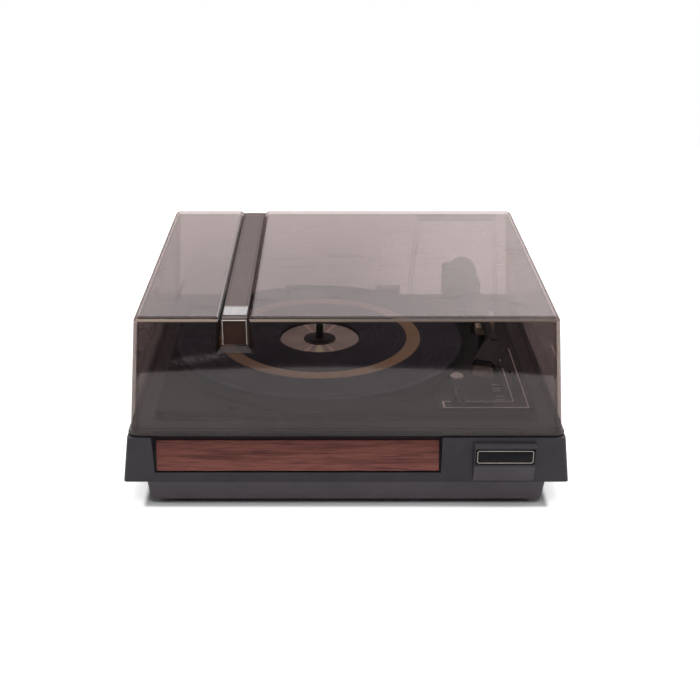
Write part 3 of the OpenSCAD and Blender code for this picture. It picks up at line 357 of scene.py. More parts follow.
def dust_and_right_light(s, at, hairs):
    """Dust on the top of the cover, wiped off along the hairlines, with painted light added to the right.
    """
    # painted light: the top is lightened towards the right
    painted_right_light = s.span(at.x, *RIGHT_LIGHT_SPAN, 0.0, RIGHT_PAINTED_LIGHT, smooth=True)
    dust = s.plus(s.span(s.noise(11, 4.0, warp=1.2), 0.25, 0.75, DUST_LEAST, DUST_MOST), painted_right_light)
    wiped = s.times(dust, s.span(hairs, 0.0, 1.0, 1.0, 0.15))
    return s.times(s.span(at.upward, 0.85, 0.98), at.high_up, wiped)


def painted_edge_glints(s, at):
    """Painted glints: pale lines along the front of the top, and along the channel of the strip."""
    fade = s.span(at.x, *FRONT_GLINT_SPAN, 1.0, FRONT_GLINT_LEAST, smooth=True)
    channel = s.times(s.window(at.rightward, 0.5, 0.85, 0.10), s.window(at.x, *CHANNEL, MM),
                      s.span(at.z, *CHANNEL_GLINT_HEIGHTS))
    return s.times(s.plus(s.times(at.front_glint, fade), channel), at.high_up, EDGE_GLINT_STRENGTH)


def wear_marks(s, at):
    """Scuffs and a hairline crack on the front of the cover."""
    scuff_half, scuff_fade, scuff_end = 1.5 * MM, 3.5 * MM, 14 * MM
    crack_half, crack_fade, crack_end, crack_sway = 0.15 * MM, 0.35 * MM, 4 * MM, 5 * MM
    speck = s.span(s.noise(1.0, 3.0, s.where(scale=(420, 420, 1100)), rough=0.7), 0.46, 0.62)
    rise = s.times(s.minus(at.x, SCUFF_AT[0]), SCUFF_RISE)
    level = s.minus(at.z, s.plus(rise, SCUFF_AT[1]))
    reach = s.window(at.x, SCUFF_AT[0] - SCUFF_LEFT, SCUFF_AT[0] + SCUFF_RIGHT, scuff_end)
    scuff = s.times(reach, s.window(level, -scuff_half, scuff_half, scuff_fade), speck, SCUFF_STRENGTH)
    wobble = s.span(s.noise(160, 3.0), 0.0, 1.0, -crack_sway, crack_sway)
    lean = s.times(s.minus(at.z, CRACK_AT[1]), CRACK_LEAN)
    line = s.minus(at.x, s.plus(lean, wobble, CRACK_AT[0]))
    height = s.window(at.z, CRACK_AT[1] - CRACK_DOWN, CRACK_AT[1] + CRACK_UP, crack_end)
    crack = s.times(s.window(line, -crack_half, crack_half, crack_fade), height, CRACK_STRENGTH)
    return s.times(s.plus(scuff, crack), s.span(at.forward, 0.8, 0.95))


def smoked_acrylic():
    """Clear tinted sheet that mirrors more at a slant, under a film of dust and wear, with painted glints
    on its edges.
    """
    s = material("smoked_acrylic")
    s.nodes.remove(s.surface)
    at = CoverPoint(s)
    clear = s.add("BsdfTransparent", Color=cover_tint(s, at)).outputs[0]
    gloss = s.add("BsdfGlossy", Color=(1.0, 0.93, 0.925, 1.0), Roughness=0.035).outputs[0]
    sheet = s.layer(cover_mirror(s, at), clear, gloss)
    hairs = hairlines(s)
    scratched = s.span(hairs, 0.0, 1.0, 0.004, 0.012)
    # real dust, scratches and wear, with the painted edge glints
    dust_wear_and_glints = s.plus(dust_and_right_light(s, at, hairs), scratched, painted_edge_glints(s, at), wear_marks(s, at))
    # the film turns golden white where the painted glint runs along the front edge
    dust_and_glint_colour = s.mix(at.front_glint, srgb(198, 188, 190), srgb(240, 214, 194))
    film = s.add("BsdfDiffuse", Color=dust_and_glint_colour).outputs[0]
    s.finish(s.layer(s.math("MINIMUM", dust_wear_and_glints, 0.9), sheet, film))
    return s.owner


def strip_vinyl():
    """Dark strip with a fine brushed grain along its length."""
    s = material("strip_vinyl")
    grain = s.noise(1.0, 4.0, s.where(scale=(2600, 22, 200)))
    cloud = s.noise(28, 3.0)
    tone = s.ramp(grain, [(0.35, srgb(80, 67, 65)), (0.65, srgb(104, 89, 87))])
    s.set(Base_Color=s.mix(s.span(cloud, 0.3, 0.7, 0.0, 0.35), tone, srgb(74, 61, 59)))
    s.set(Roughness=s.span(grain, 0.3, 0.7, 0.46, 0.60), Specular_IOR_Level=0.3)
    s.set(Normal=s.bump(grain, 0.12, 0.2 * MM))
    return s.owner


def brushed(name, colour, rough, along=(6, 900, 900), metallic=1.0):
    """Metal with fine parallel brush lines."""
    s = material(name)
    lines = s.noise(1.0, 3.0, s.where(scale=along))
    s.set(Base_Color=s.ramp(lines, [(0.3, darker(colour, 0.78)), (0.7, colour)]), Metallic=metallic)
    s.set(Roughness=s.span(lines, 0.3, 0.7, *rough))
    s.set(Normal=s.bump(lines, 0.06, 0.1 * MM))
    return s.owner


def round_sheen(s):
    """Direction of brush lines that run round an upright axis."""
    return s.add("Tangent", {"direction_type": "RADIAL", "axis": "Z"}).outputs[0]


def painted_disc_reflections():
    """Turned aluminium disc with soft coloured streaks painted into its colour by direction round the
    spindle, as painted reflections.
    """
    s = material("turned_aluminium")
    place = s.add("VectorMath", {"operation": "SUBTRACT"})
    s.feed(place.inputs[0], s.add("NewGeometry").outputs["Position"])
    s.feed(place.inputs[1], (HUB[0], HUB[1], 0.0))
    axes = s.add("SeparateXYZ", Vector=place.outputs[0]).outputs
    radius = s.add("VectorMath", {"operation": "LENGTH"})
    s.feed(radius.inputs[0], s.add("CombineXYZ", X=axes["X"], Y=axes["Y"]).outputs[0])
    side = s.math("DIVIDE", s.math("ABSOLUTE", axes["X"]), radius.outputs["Value"])
    base = srgb(200, 190, 182)
    # painted reflections: colour streaks set by direction round the spindle
    streaks = s.ramp(side, [(0.0, srgb(255, 250, 214)), (0.10, srgb(240, 244, 206)), (0.18, base),
                            (0.30, srgb(190, 177, 170)), (0.40, srgb(250, 228, 222)),
                            (0.50, srgb(194, 178, 170)), (0.62, base), (0.84, srgb(186, 174, 166)),
                            (1.0, srgb(202, 191, 182))])
    fine = s.noise(1.0, 2.0, s.where(scale=(900, 900, 200)))
    s.set(Base_Color=streaks, Metallic=0.25, Anisotropic=0.6, Tangent=round_sheen(s))
    s.set(Roughness=s.span(fine, 0.3, 0.7, 0.40, 0.50))
    return s.owner


def turned_brass():
    """Brass with fine turning marks and a sheen that runs round."""
    s = material("pulley_brass")
    pitch = 0.6 * MM
    # The wave texture goes through this many radians per metre at a scale of 1
    wave_rate = 20
    rings = s.add("TexWave", {"wave_type": "RINGS", "rings_direction": "Z"}, Vector=s.where(),
                  Scale=2 * math.pi / (wave_rate * pitch), Distortion=0.0)
    uneven = s.noise(60, 3.0)
    brass = srgb(212, 170, 84)
    s.set(Base_Color=s.mix(s.span(uneven, 0.3, 0.7), darker(brass, 0.82), brass), Metallic=1.0)
    s.set(Roughness=s.span(uneven, 0.3, 0.7, 0.22, 0.32), Anisotropic=0.85, Tangent=round_sheen(s))
    s.set(Normal=s.bump(rings.outputs[1], 0.10, 0.1 * MM))
    return s.owner


def gloss_black():
    """Polished black with faint smears."""
    s = material("black_gloss")
    smear = s.noise(1.0, 3.0, s.where(scale=(30, 90, 140)))
    s.set(Base_Color=s.ramp(smear, [(0.3, srgb(15, 13, 15)), (0.7, srgb(20, 18, 20))]))
    s.set(Roughness=s.span(smear, 0.3, 0.7, 0.44, 0.56), Specular_IOR_Level=0.25)
    s.set(Normal=s.bump(s.noise(700), 0.03, 0.1 * MM))
    return s.owner


def winding():
    """Varnished copper wire laid side by side."""
    s = material("coil_winding")
    turns = s.add("TexWave", {"wave_type": "BANDS", "bands_direction": "X"}, Vector=s.where(), Scale=520.0)
    s.set(Base_Color=s.ramp(turns.outputs[1], [(0.2, srgb(92, 42, 20)), (0.8, srgb(168, 92, 48))]))
    s.set(Roughness=0.32, Normal=s.bump(turns.outputs[1], 0.5, 0.2 * MM))
    return s.owner


def hardboard():
    """Pressed fibre board, rough and uneven."""
    s = material("hardboard")
    fibre = s.noise(1.0, 5.0, s.where(scale=(420, 300, 300)), warp=0.8)
    s.set(Base_Color=s.ramp(fibre, [(0.3, srgb(38, 32, 30)), (0.7, srgb(56, 48, 44))]))
    s.set(Roughness=0.82, Normal=s.bump(fibre, 0.35, 0.4 * MM))
    return s.owner


# Look of each material slot
LOOKS = {
    "plinth_plastic": mottled("plinth_plastic", srgb(52, 47, 54), srgb(58, 53, 61), (0.40, 0.52)),
    "walnut": walnut(),
    "black_gloss": gloss_black(),
    "hardboard": hardboard(),
    "black_rubber": mottled("black_rubber", srgb(26, 25, 27), srgb(36, 35, 37), (0.62, 0.80),
                            grain=1400, depth=0.2),
    "steel": brushed("steel", srgb(196, 196, 200), (0.26, 0.40)),
    "smoked_acrylic": smoked_acrylic(),
    "strip_vinyl": strip_vinyl(),
    "badge_metal": brushed("badge_metal", srgb(184, 179, 180), (0.34, 0.46), along=(900, 8, 900),
                           metallic=0.4),
    "deck_paint": mottled("deck_paint", srgb(22, 22, 27), srgb(28, 28, 34), (0.58, 0.72),
                          grain=2400, depth=0.08, patch=60),
    "black_plastic": mottled("black_plastic", srgb(21, 19, 21), srgb(29, 27, 29), (0.46, 0.60),
                             grain=2600, depth=0.08),
    "bright_trim": brushed("bright_trim", srgb(232, 222, 214), (0.30, 0.42), along=(200, 200, 200),
                           metallic=0.15),
    "turned_aluminium": painted_disc_reflections(),
    "cast_platter": mottled("cast_platter", srgb(66, 65, 70), srgb(84, 82, 87), (0.40, 0.55),
                            grain=900, depth=0.25, patch=50, metallic=0.7),
    "mat_rubber": mottled("mat_rubber", srgb(40, 42, 56), srgb(51, 52, 68), (0.55, 0.72),
                          grain=1500, depth=0.16, patch=22),
    "tan_vinyl": mottled("tan_vinyl", srgb(174, 145, 116), srgb(186, 157, 127), (0.50, 0.65),
                         grain=1200, depth=0.1),
    "cream_plastic": mottled("cream_plastic", srgb(216, 202, 172), srgb(230, 217, 190), (0.36, 0.48),
                             grain=900, depth=0.05),
    "coil_winding": winding(),
    "pulley_brass": turned_brass(),
    "gear_nylon": mottled("gear_nylon", srgb(208, 202, 184), srgb(222, 217, 202), (0.40, 0.52),
                          grain=800, depth=0.06),
    "lamination": mottled("lamination", srgb(78, 78, 82), srgb(98, 98, 102), (0.42, 0.58),
                          grain=600, depth=0.3, patch=90, metallic=0.6),
    "pickup": mottled("pickup", srgb(168, 152, 140), srgb(184, 170, 158), (0.30, 0.42),
                      grain=900, depth=0.04),
    "finger_silver": brushed("finger_silver", srgb(196, 172, 164), (0.30, 0.42), metallic=0.4),
}

# Looks of pieces that differ from the rest of their slot; the lit plastic is painted light and
# the shaded strip vinyl is painted shade
# painted shade: a darker copy of the strip vinyl, for the strip end in the notch
SHADED_VINYL_PAINTED = mottled("strip_vinyl_painted_shade", srgb(62, 42, 37), srgb(74, 52, 46), (0.60, 0.72),
                     grain=1500, depth=0.06, patch=40, shine=0.1)
# painted light: a lighter copy of the plinth plastic, where the table's light falls on the base tray and
# under the name plate
LIT_PLASTIC_PAINTED = mottled("plinth_plastic_painted_lit", srgb(82, 74, 82), srgb(91, 82, 91), (0.44, 0.56))
BLACKED_STEEL = mottled("blacked_steel", srgb(34, 32, 34), srgb(44, 42, 44), (0.40, 0.52),
                        depth=0.05, patch=60, metallic=0.6)
SMOKED_VINYL = mottled("smoked_vinyl", srgb(66, 59, 60), srgb(75, 67, 68), (0.50, 0.62),
                       grain=1500, depth=0.06)


# Kept nodes

# the base tray takes the painted lit plastic
OWN_LOOKS = {"base_tray": LIT_PLASTIC_PAINTED, "transit_screws": BLACKED_STEEL}
SLOT_OF = {part["node"]: part["material_slot"] for part in frame["record"]["subparts"]}
FLAT_SHADED = ("dust_cover", "hinge_leaves")

# Width of the rounded edge on each kept node, in millimetres
EDGES = {
    "plinth": 0.9, "base_tray": 1.6, "wood_panel": 0.3, "bottom_board": 0.4, "rubber_feet": 0.4,
    "dust_cover": 0.5, "deck_plate": 0.5, "control_panel": 0.5, "panel_trim": 0.08,
    "hinge_brackets": 0.4, "hinge_leaves": 0.4, "transit_screws": 0.2, "hub_cap": 0.3, "platter": 0.6,
    "mat_ring": 0.08, "arm_base": 0.6, "arm_yoke": 0.5, "pivot_hood": 1.6, "arm_block": 0.8,
    "arm_tube": 0.2, "headshell": 0.5, "head_plate": 0.2, "cartridge": 0.5, "counterweight": 0.6,
    "arm_rest_post": 0.4, "arm_rest_clip": 0.7, "cue_lever": 0.5, "cue_lift": 0.4, "speed_knob": 0.5,
    "function_knob": 0.5, "lead_grommets": 0.5, "cover_bumpers": 0.2, "idler_hub": 0.3,
    "idler_tyre": 0.3, "motor_stack": 0.4, "motor_coil": 0.8, "motor_end_plates": 0.3,
    "mains_switch": 0.6, "cycle_gear": 0.15, "pivot_screws": 0.2,
}

# What counts as one point, as flat and as a sharp edge when edges are rounded
SAME_POINT = 0.01 * MM
FLAT_WITHIN = math.radians(0.5)
SHARP_FROM = math.radians(28)

# Steps of a rounded edge, and how strongly the large faces set its shading
EDGE_STEPS = 3
FACE_WEIGHT = 60


def dress(name):
    """Gives a kept node its finish, and rounds its sharp edges."""
    node = NODES[name]
    node.data.materials.clear()
    node.data.materials.append(OWN_LOOKS.get(name) or LOOKS[SLOT_OF[name]])
    if name not in EDGES:
        return
    normals = node.data.attributes.get("custom_normal")
    if normals:
        node.data.attributes.remove(normals)
    if name in FLAT_SHADED:
        node.data.shade_flat()
    else:
        node.data.shade_smooth()
    weld = node.modifiers.new("weld", "WELD")
    weld.merge_threshold = SAME_POINT
    flat = node.modifiers.new("flat", "DECIMATE")
    flat.decimate_type = "DISSOLVE"
    flat.angle_limit = FLAT_WITHIN
    bevel = node.modifiers.new("edge", "BEVEL")
    bevel.width = EDGES[name] * MM
    bevel.segments = EDGE_STEPS
    bevel.limit_method = "ANGLE"
    bevel.angle_limit = SHARP_FROM
    if name not in FLAT_SHADED:
        even = node.modifiers.new("even", "WEIGHTED_NORMAL")
        even.mode = "FACE_AREA"
        even.weight = FACE_WEIGHT


# Pieces modelled here

def piece(name, build, body, slot, replaced=None, look=None):
    """Makes an object from a bmesh and lets it ride on a body."""
    mesh = bpy.data.meshes.new(name)
    build.to_mesh(mesh)
    build.free()
    thing = bpy.data.objects.new(name, mesh)
    bpy.context.scene.collection.objects.link(thing)
    mesh.materials.append(LOOKS[slot])
    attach(thing, body)
    if look:
        mesh.materials[0] = look
    if replaced:
        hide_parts(replaced)
    return thing


def smooth_by_angle(thing, degrees):
    """Smooth shading, broken at edges sharper than an angle."""
    thing.data.shade_smooth()
    thing.data.set_sharp_from_angle(angle=math.radians(degrees))


def band(build, here, there):
    """Faces between two closed rows of vertices of equal count."""
    for j in range(len(here)):
        i = (j + 1) % len(here)
        build.faces.new((here[j], here[i], there[i], there[j]))


def skin_stack(build, rings):
    """Closed solid through a stack of equal outlines; each ring is a list of points in space."""
    made = [[build.verts.new(point) for point in ring] for ring in rings]
    for here, there in zip(made, made[1:]):
        band(build, here, there)
    build.faces.new(list(reversed(made[0])))
    build.faces.new(made[-1])
    bmesh.ops.recalc_face_normals(build, faces=build.faces)


def skin_loop(build, rings):
    """Closed hoop through equal outlines, the last of them joined to the first."""
    made = [[build.verts.new(point) for point in ring] for ring in rings]
    for here, there in zip(made, made[1:] + made[:1]):
        band(build, here, there)
    bmesh.ops.recalc_face_normals(build, faces=build.faces)


def lathe(profile, steps=256):
    """Ring turned round the spindle from a closed profile of radius and height."""
    rings = []
    for k in range(steps):
        angle = 2 * math.pi * k / steps
        rings.append([(HUB[0] + r * math.cos(angle), HUB[1] + r * math.sin(angle), z) for r, z in profile])
    build = bmesh.new()
    skin_loop(build, rings)
    return build


def swept(profile, start, end, name, body, slot, replaced=None):
    """Bar along y with a closed profile of x and z."""
    build = bmesh.new()
    skin_stack(build, [[(x, y, z) for x, z in profile] for y in (start, end)])
    piece(name, build, body, slot, replaced)


def rounded_outline(width, height, radius, steps=8):
    """Points of a rectangle with round corners, about its middle."""
    points = []
    for k, (sx, sy) in enumerate(((1, 1), (-1, 1), (-1, -1), (1, -1))):
        for j in range(steps + 1):
            angle = math.pi / 2 * (k + j / steps)
            points.append((sx * (width / 2 - radius) + radius * math.cos(angle),
                           sy * (height / 2 - radius) + radius * math.sin(angle)))
    return points


def upright(outline, middle, y):
    """Points of an outline that faces the front, about a middle of x and z."""
    return [(middle[0] + x, y, middle[1] + z) for x, z in outline]


def lying(outline, middle, z):
    """Points of an outline that faces up, about a middle of x and y."""
    return [(middle[0] + x, middle[1] + y, z) for x, y in outline]


def radius_of(name):
    """Half the width of a round node."""
    low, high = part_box(name)
    return (high.x - low.x) / 2


# Ribs of the mat: their pitch and depth, and the shares of a pitch where crest and groove lie
RIB_PITCH, RIB_DEPTH = 3.0 * MM, 0.7 * MM
CREST, GROOVE = (0.18, 0.55), (0.70, 0.92)

# Tan ring in the mat: its width, and the play on either side
RING_WIDTH, RING_PLAY = 13.2 * MM, 0.05 * MM


def ribs(start, end, top):
    """Profile of whole ribs between two radii."""
    count = int((end - start) / RIB_PITCH)
    step = (end - start) / count
    points = []
    for k in range(count):
        r = start + k * step
        points += [(r + share * step, top) for share in CREST]
        points += [(r + share * step, top - RIB_DEPTH) for share in GROOVE]
    return points


def ribbed_mat():
    """Rubber mat with moulded ribs inside and outside the tan ring."""
    low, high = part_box("platter_mat")
    top, seat = high.z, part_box("mat_ring")[0].z
    disc_play, chamfer = 0.3 * MM, 1.2 * MM
    rim, rim_fall = 3.6 * MM, 0.2 * MM
    lip, lip_fall = 0.6 * MM, 0.3 * MM
    plain_inside, plain_by_ring, plain_at_rim = 2 * MM, 1.5 * MM, 5 * MM
    outer, inner = radius_of("platter_mat"), radius_of("trim_disc") + disc_play
    ring_out = radius_of("mat_ring") + RING_PLAY
    ring_in = ring_out - RING_WIDTH - 2 * RING_PLAY
    profile = [(inner, low.z), (inner, top - chamfer), (inner + chamfer, top)]
    profile += ribs(inner + plain_inside, ring_in - plain_by_ring, top)
    profile += [(ring_in - lip, top), (ring_in, top - lip_fall), (ring_in, seat)]
    profile += [(ring_out, seat), (ring_out, top - lip_fall), (ring_out + lip, top)]
    profile += ribs(ring_out + plain_by_ring, outer - plain_at_rim, top)
    profile += [(outer - rim, top), (outer - chamfer, top - rim_fall)]
    profile += [(outer, top - chamfer), (outer, low.z)]
    mat = piece("mat_ribbed", lathe(profile), "turntable", "mat_rubber", "platter_mat")
    smooth_by_angle(mat, 35)


def turned_disc():
    """Centre disc with a chamfered rim, a shallow groove and a step round the hub cap."""
    low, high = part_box("trim_disc")
    top = high.z
    cap_play = 0.1 * MM
    outer, inner = radius_of("trim_disc"), radius_of("hub_cap") + cap_play
    step_width, step_end, step_fall = 1.2 * MM, 1.6 * MM, 0.25 * MM
    groove_in, groove_out = outer - 4.2 * MM, outer - 3.0 * MM
    groove_side, groove_fall = 0.3 * MM, 0.2 * MM
    rim_width, rim_fall = 0.6 * MM, 0.5 * MM
    profile = [(inner, low.z), (inner, top - step_fall), (inner + step_width, top - step_fall)]
    profile += [(inner + step_end, top), (groove_in, top), (groove_in + groove_side, top - groove_fall)]
    profile += [(groove_out - groove_side, top - groove_fall), (groove_out, top)]
    profile += [(outer - rim_width, top), (outer, top - rim_fall), (outer, low.z)]
    disc = piece("disc_turned", lathe(profile), "turntable", "turned_aluminium", "trim_disc")
    smooth_by_angle(disc, 20)


def name_plate():
    """Bare gloss plate with a thin bright line set in from its edge."""
    low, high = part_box("name_plate")
    width, height = high.x - low.x, high.z - low.z
    middle = ((low.x + high.x) / 2, (low.z + high.z) / 2)

    def at(inset, radius, y):
        return upright(rounded_outline(width - 2 * inset, height - 2 * inset, radius), middle, y)

    play, bevel, corner, face_back = 0.1 * MM, 0.2 * MM, 1.2 * MM, 0.16 * MM
    build = bmesh.new()
    skin_stack(build, [at(play, corner, high.y), at(play, corner, low.y + 2 * face_back),
                       at(play + bevel, corner - bevel, low.y + face_back)])
    plate = piece("name_plate_bare", build, "plinth", "black_gloss", "name_plate")
    smooth_by_angle(plate, 40)

    gap, line, bend = 1.5 * MM, 0.55 * MM, 1.8 * MM
    back, front = low.y + 0.2 * MM, low.y + 0.03 * MM
    build = bmesh.new()
    skin_loop(build, [at(gap, bend, back), at(gap, bend, front),
                      at(gap + line, bend - line, front), at(gap + line, bend - line, back)])
    border = piece("name_plate_line", build, "plinth", "bright_trim")
    smooth_by_angle(border, 40)


def cover_strip():
    """Vinyl strip in the channel of the cover, with a fine groove along each edge."""
    low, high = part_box("cover_strip")
    inset, groove, slope, depth, edge = 1.5 * MM, 0.6 * MM, 0.1 * MM, 0.45 * MM, 0.3 * MM
    half = [(inset + groove, high.z), (inset + groove - slope, high.z - depth)]
    half += [(inset + slope, high.z - depth), (inset, high.z)]
    half += [(edge, high.z), (0.0, high.z - edge), (0.0, low.z)]
    left = [(low.x + x, z) for x, z in half]
    right = [(high.x - x, z) for x, z in reversed(half)]
    swept(left + right, low.y, high.y, "strip_grooved", "cover", "strip_vinyl", "cover_strip")


def strip_shade_bars():
    """Black bars between the strip and the walls of its channel, as painted shade for the gaps there."""
    low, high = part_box("cover_strip")
    near, far = 0.02 * MM, 0.45 * MM
    foot, shoulder, crest = low.z + 0.05 * MM, high.z + 0.25 * MM, high.z + 0.4 * MM
    # painted shade: black bars in the gaps beside the strip
    for side, x0, x1 in (("left", low.x - far, low.x - near), ("right", high.x + near, high.x + far)):
        profile = [(x0, foot), (x1, foot), (x1, shoulder), ((x0 + x1) / 2, crest), (x0, shoulder)]
        swept(profile, low.y, high.y, "strip_shade_bar_" + side, "cover", "black_rubber")


def cover_badge():
    """Bare bright plate at the front of the strip, with a raised rim."""
    low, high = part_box("cover_badge")
    width, depth = high.x - low.x, high.y - low.y
    middle = ((low.x + high.x) / 2, (low.y + high.y) / 2)
    corner, least_corner, corner_steps = 1.6 * MM, 0.5 * MM, 6
    rim, bevel, bevel_fall, sunk = 0.9 * MM, 0.2 * MM, 0.25 * MM, 0.35 * MM

    def at(inset, z):
        radius = max(corner - inset, least_corner)
        return lying(rounded_outline(width - 2 * inset, depth - 2 * inset, radius, corner_steps), middle, z)

    build = bmesh.new()
    skin_stack(build, [at(0, low.z), at(0, high.z - bevel_fall), at(bevel, high.z), at(rim, high.z),
                       at(rim + bevel, high.z - sunk)])
    badge = piece("badge_bare", build, "cover", "badge_metal", "cover_badge")
    smooth_by_angle(badge, 25)


def notch_shade_and_glints():
    """Strip end in the thumb notch in a darker copy of the strip vinyl as painted shade, with bright bars
    as painted glints on the notch's edges.
    """
    strip_low, strip_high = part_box("cover_strip")
    ahead, tall, below, inset = 1 * MM, 26.2 * MM, 0.6 * MM, 0.9 * MM
    wall = strip_low.y - ahead
    foot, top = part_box("dust_cover")[1].z - tall, strip_low.z - below
    left, right = strip_low.x + inset, strip_high.x - inset
    off_wall, bevel, corner_steps = 0.05 * MM, 0.15 * MM, 4

    def panel(build, x0, x1, z0, z1, proud, corner):
        middle = ((x0 + x1) / 2, (z0 + z1) / 2)
        edge = rounded_outline(x1 - x0, z1 - z0, corner, corner_steps)
        face = rounded_outline(x1 - x0 - 2 * bevel, z1 - z0 - 2 * bevel, corner, corner_steps)
        skin_stack(build, [upright(edge, middle, wall - off_wall),
                           upright(edge, middle, wall - proud + bevel),
                           upright(face, middle, wall - proud)])

    build = bmesh.new()
    # painted shade: the strip end in a darker copy of its vinyl
    panel(build, left, right, foot, top, proud=0.7 * MM, corner=0.8 * MM)
    piece("notch_strip_shaded", build, "cover", "strip_vinyl", look=SHADED_VINYL_PAINTED)

    # painted glints: bright bars along the notch's edges
    play, width, proud, corner = 0.05 * MM, 0.75 * MM, 1.0 * MM, 0.2 * MM
    build = bmesh.new()
    panel(build, left - width, left - play, foot, top + width, proud, corner)
    panel(build, right + play, right + width, foot, top + width, proud, corner)
    panel(build, left, right, top + play, top + width, proud, corner)
    piece("notch_edge_glints", build, "cover", "bright_trim")


def cover_gasket():
    """Smoke-grey lip pushed onto the cover's foot, along its front and sides."""
    low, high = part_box("dust_cover")
    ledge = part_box("plinth")[1].z
    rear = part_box("deck_plate")[1].y
    radius, steps = 8 * MM, 8
    outside, inside, under = 1.2 * MM, -0.2 * MM, -2.5 * MM
    bottom, top, sole = ledge + 0.45 * MM, ledge + 2.1 * MM, low.z + 0.05 * MM

    def line(grow):
        points = [(low.x - grow, rear)]
        for x, start in ((low.x + radius, 180), (high.x - radius, 270)):
            for k in range(steps + 1):
                angle = math.radians(start + 90 * k / steps)
                points.append((x + (radius + grow) * math.cos(angle),
                               low.y + radius + (radius + grow) * math.sin(angle)))
        return points + [(high.x + grow, rear)]

    def bar(build, outer, inner, z0, z1):
        skin_stack(build, [[(ax, ay, z0), (ax, ay, z1), (bx, by, z1), (bx, by, z0)]
                           for (ax, ay), (bx, by) in zip(line(outer), line(inner))])

    build = bmesh.new()
    bar(build, outside, inside, bottom, top)
    bar(build, outside, under, bottom, sole)
    lip = piece("cover_gasket", build, "cover", "black_rubber", look=SMOKED_VINYL)
    smooth_by_angle(lip, 40)


def boss_painted_light():
    """Thin sheet of lighter plastic over the sloping face under the name plate, as painted light where the
    table's light falls.
    """
    low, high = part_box("name_plate")
    front, tray_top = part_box("plinth")[0].y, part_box("base_tray")[1].z
    margin, thick, bevel = 0.6 * MM, 0.25 * MM, 0.2 * MM
    slope_below, slope_in, slope_above = 0.5 * MM, 5 * MM, 1 * MM
    gap_at_top, gap_at_foot = 1.2 * MM, 0.5 * MM
    left, right = low.x - margin, high.x + margin
    knee = Vector((0, front, low.z - slope_below))
    heel = Vector((0, front + slope_in, tray_top + slope_above))
    run = (heel - knee).normalized()
    out = Vector((0, run.z, -run.y)) * thick
    top, foot = knee + gap_at_top * run, heel - gap_at_foot * run

    def ring(inset, lift):
        upper = top + inset * run + lift * out
        lower = foot - inset * run + lift * out
        return [(left + inset, upper.y, upper.z), (right - inset, upper.y, upper.z),
                (right - inset, lower.y, lower.z), (left + inset, lower.y, lower.z)]

    # painted light: a sheet of the lighter plastic over the sloping face
    build = bmesh.new()
    skin_stack(build, [ring(0, -1), ring(0, 0.6), ring(bevel, 1)])
    piece("boss_painted_light_sheet", build, "plinth", "plinth_plastic", look=LIT_PLASTIC_PAINTED)


def deck_painted_shade():
    """Thin band of dark rubber on the ledge round the foot of the deck plate, as painted shade for the gap
    under the plate's edge.
    """
    low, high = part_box("deck_plate")
    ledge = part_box("plinth")[1].z
    middle = ((low.x + high.x) / 2, (low.y + high.y) / 2)
    width, depth = high.x - low.x, high.y - low.y
    corner, gap, wide, thick = 8 * MM, 0.3 * MM, 2.2 * MM, 1.1 * MM

    def at(grow, z):
        return lying(rounded_outline(width + 2 * grow, depth + 2 * grow, corner + grow), middle, z)

    build = bmesh.new()
    skin_loop(build, [at(gap + wide, ledge), at(gap + wide, ledge + thick),
                      at(gap, ledge + thick), at(gap, ledge)])
    # painted shade: a dark band round the foot of the deck plate
    shade_line = piece("deck_painted_shade", build, "plinth", "black_rubber")
    smooth_by_angle(shade_line, 40)


# Rows of dashes on the panel and on the deck, as shares of the panel's depth from its front
PANEL_ROWS, DECK_ROWS = (0.125, 0.175), (0.285, 0.32, 0.375)


def label_dashes():
    """Plain raised dashes beside the function slot, in place of words."""
    low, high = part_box("control_panel")
    deck_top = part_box("deck_plate")[1].z
    margin, length, long_dash, gap = 0.6 * MM, 7 * MM, 4.4 * MM, 0.6 * MM
    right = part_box("arm_rest_post")[1].x - margin
    left = right - length
    tall, corner, corner_steps, thick = 0.8 * MM, 0.3 * MM, 3, 0.12 * MM
    rows = [(share, high.z) for share in PANEL_ROWS] + [(share, deck_top) for share in DECK_ROWS]
    build = bmesh.new()
    for share, floor in rows:
        y = low.y + share * (high.y - low.y)
        for start, end in ((left, left + long_dash), (left + long_dash + gap, right)):
            outline = rounded_outline(end - start, tall, corner, corner_steps)
            middle = ((start + end) / 2, y)
            skin_stack(build, [lying(outline, middle, floor), lying(outline, middle, floor + thick)])
    piece("label_dashes", build, "plinth", "bright_trim")


# Studio

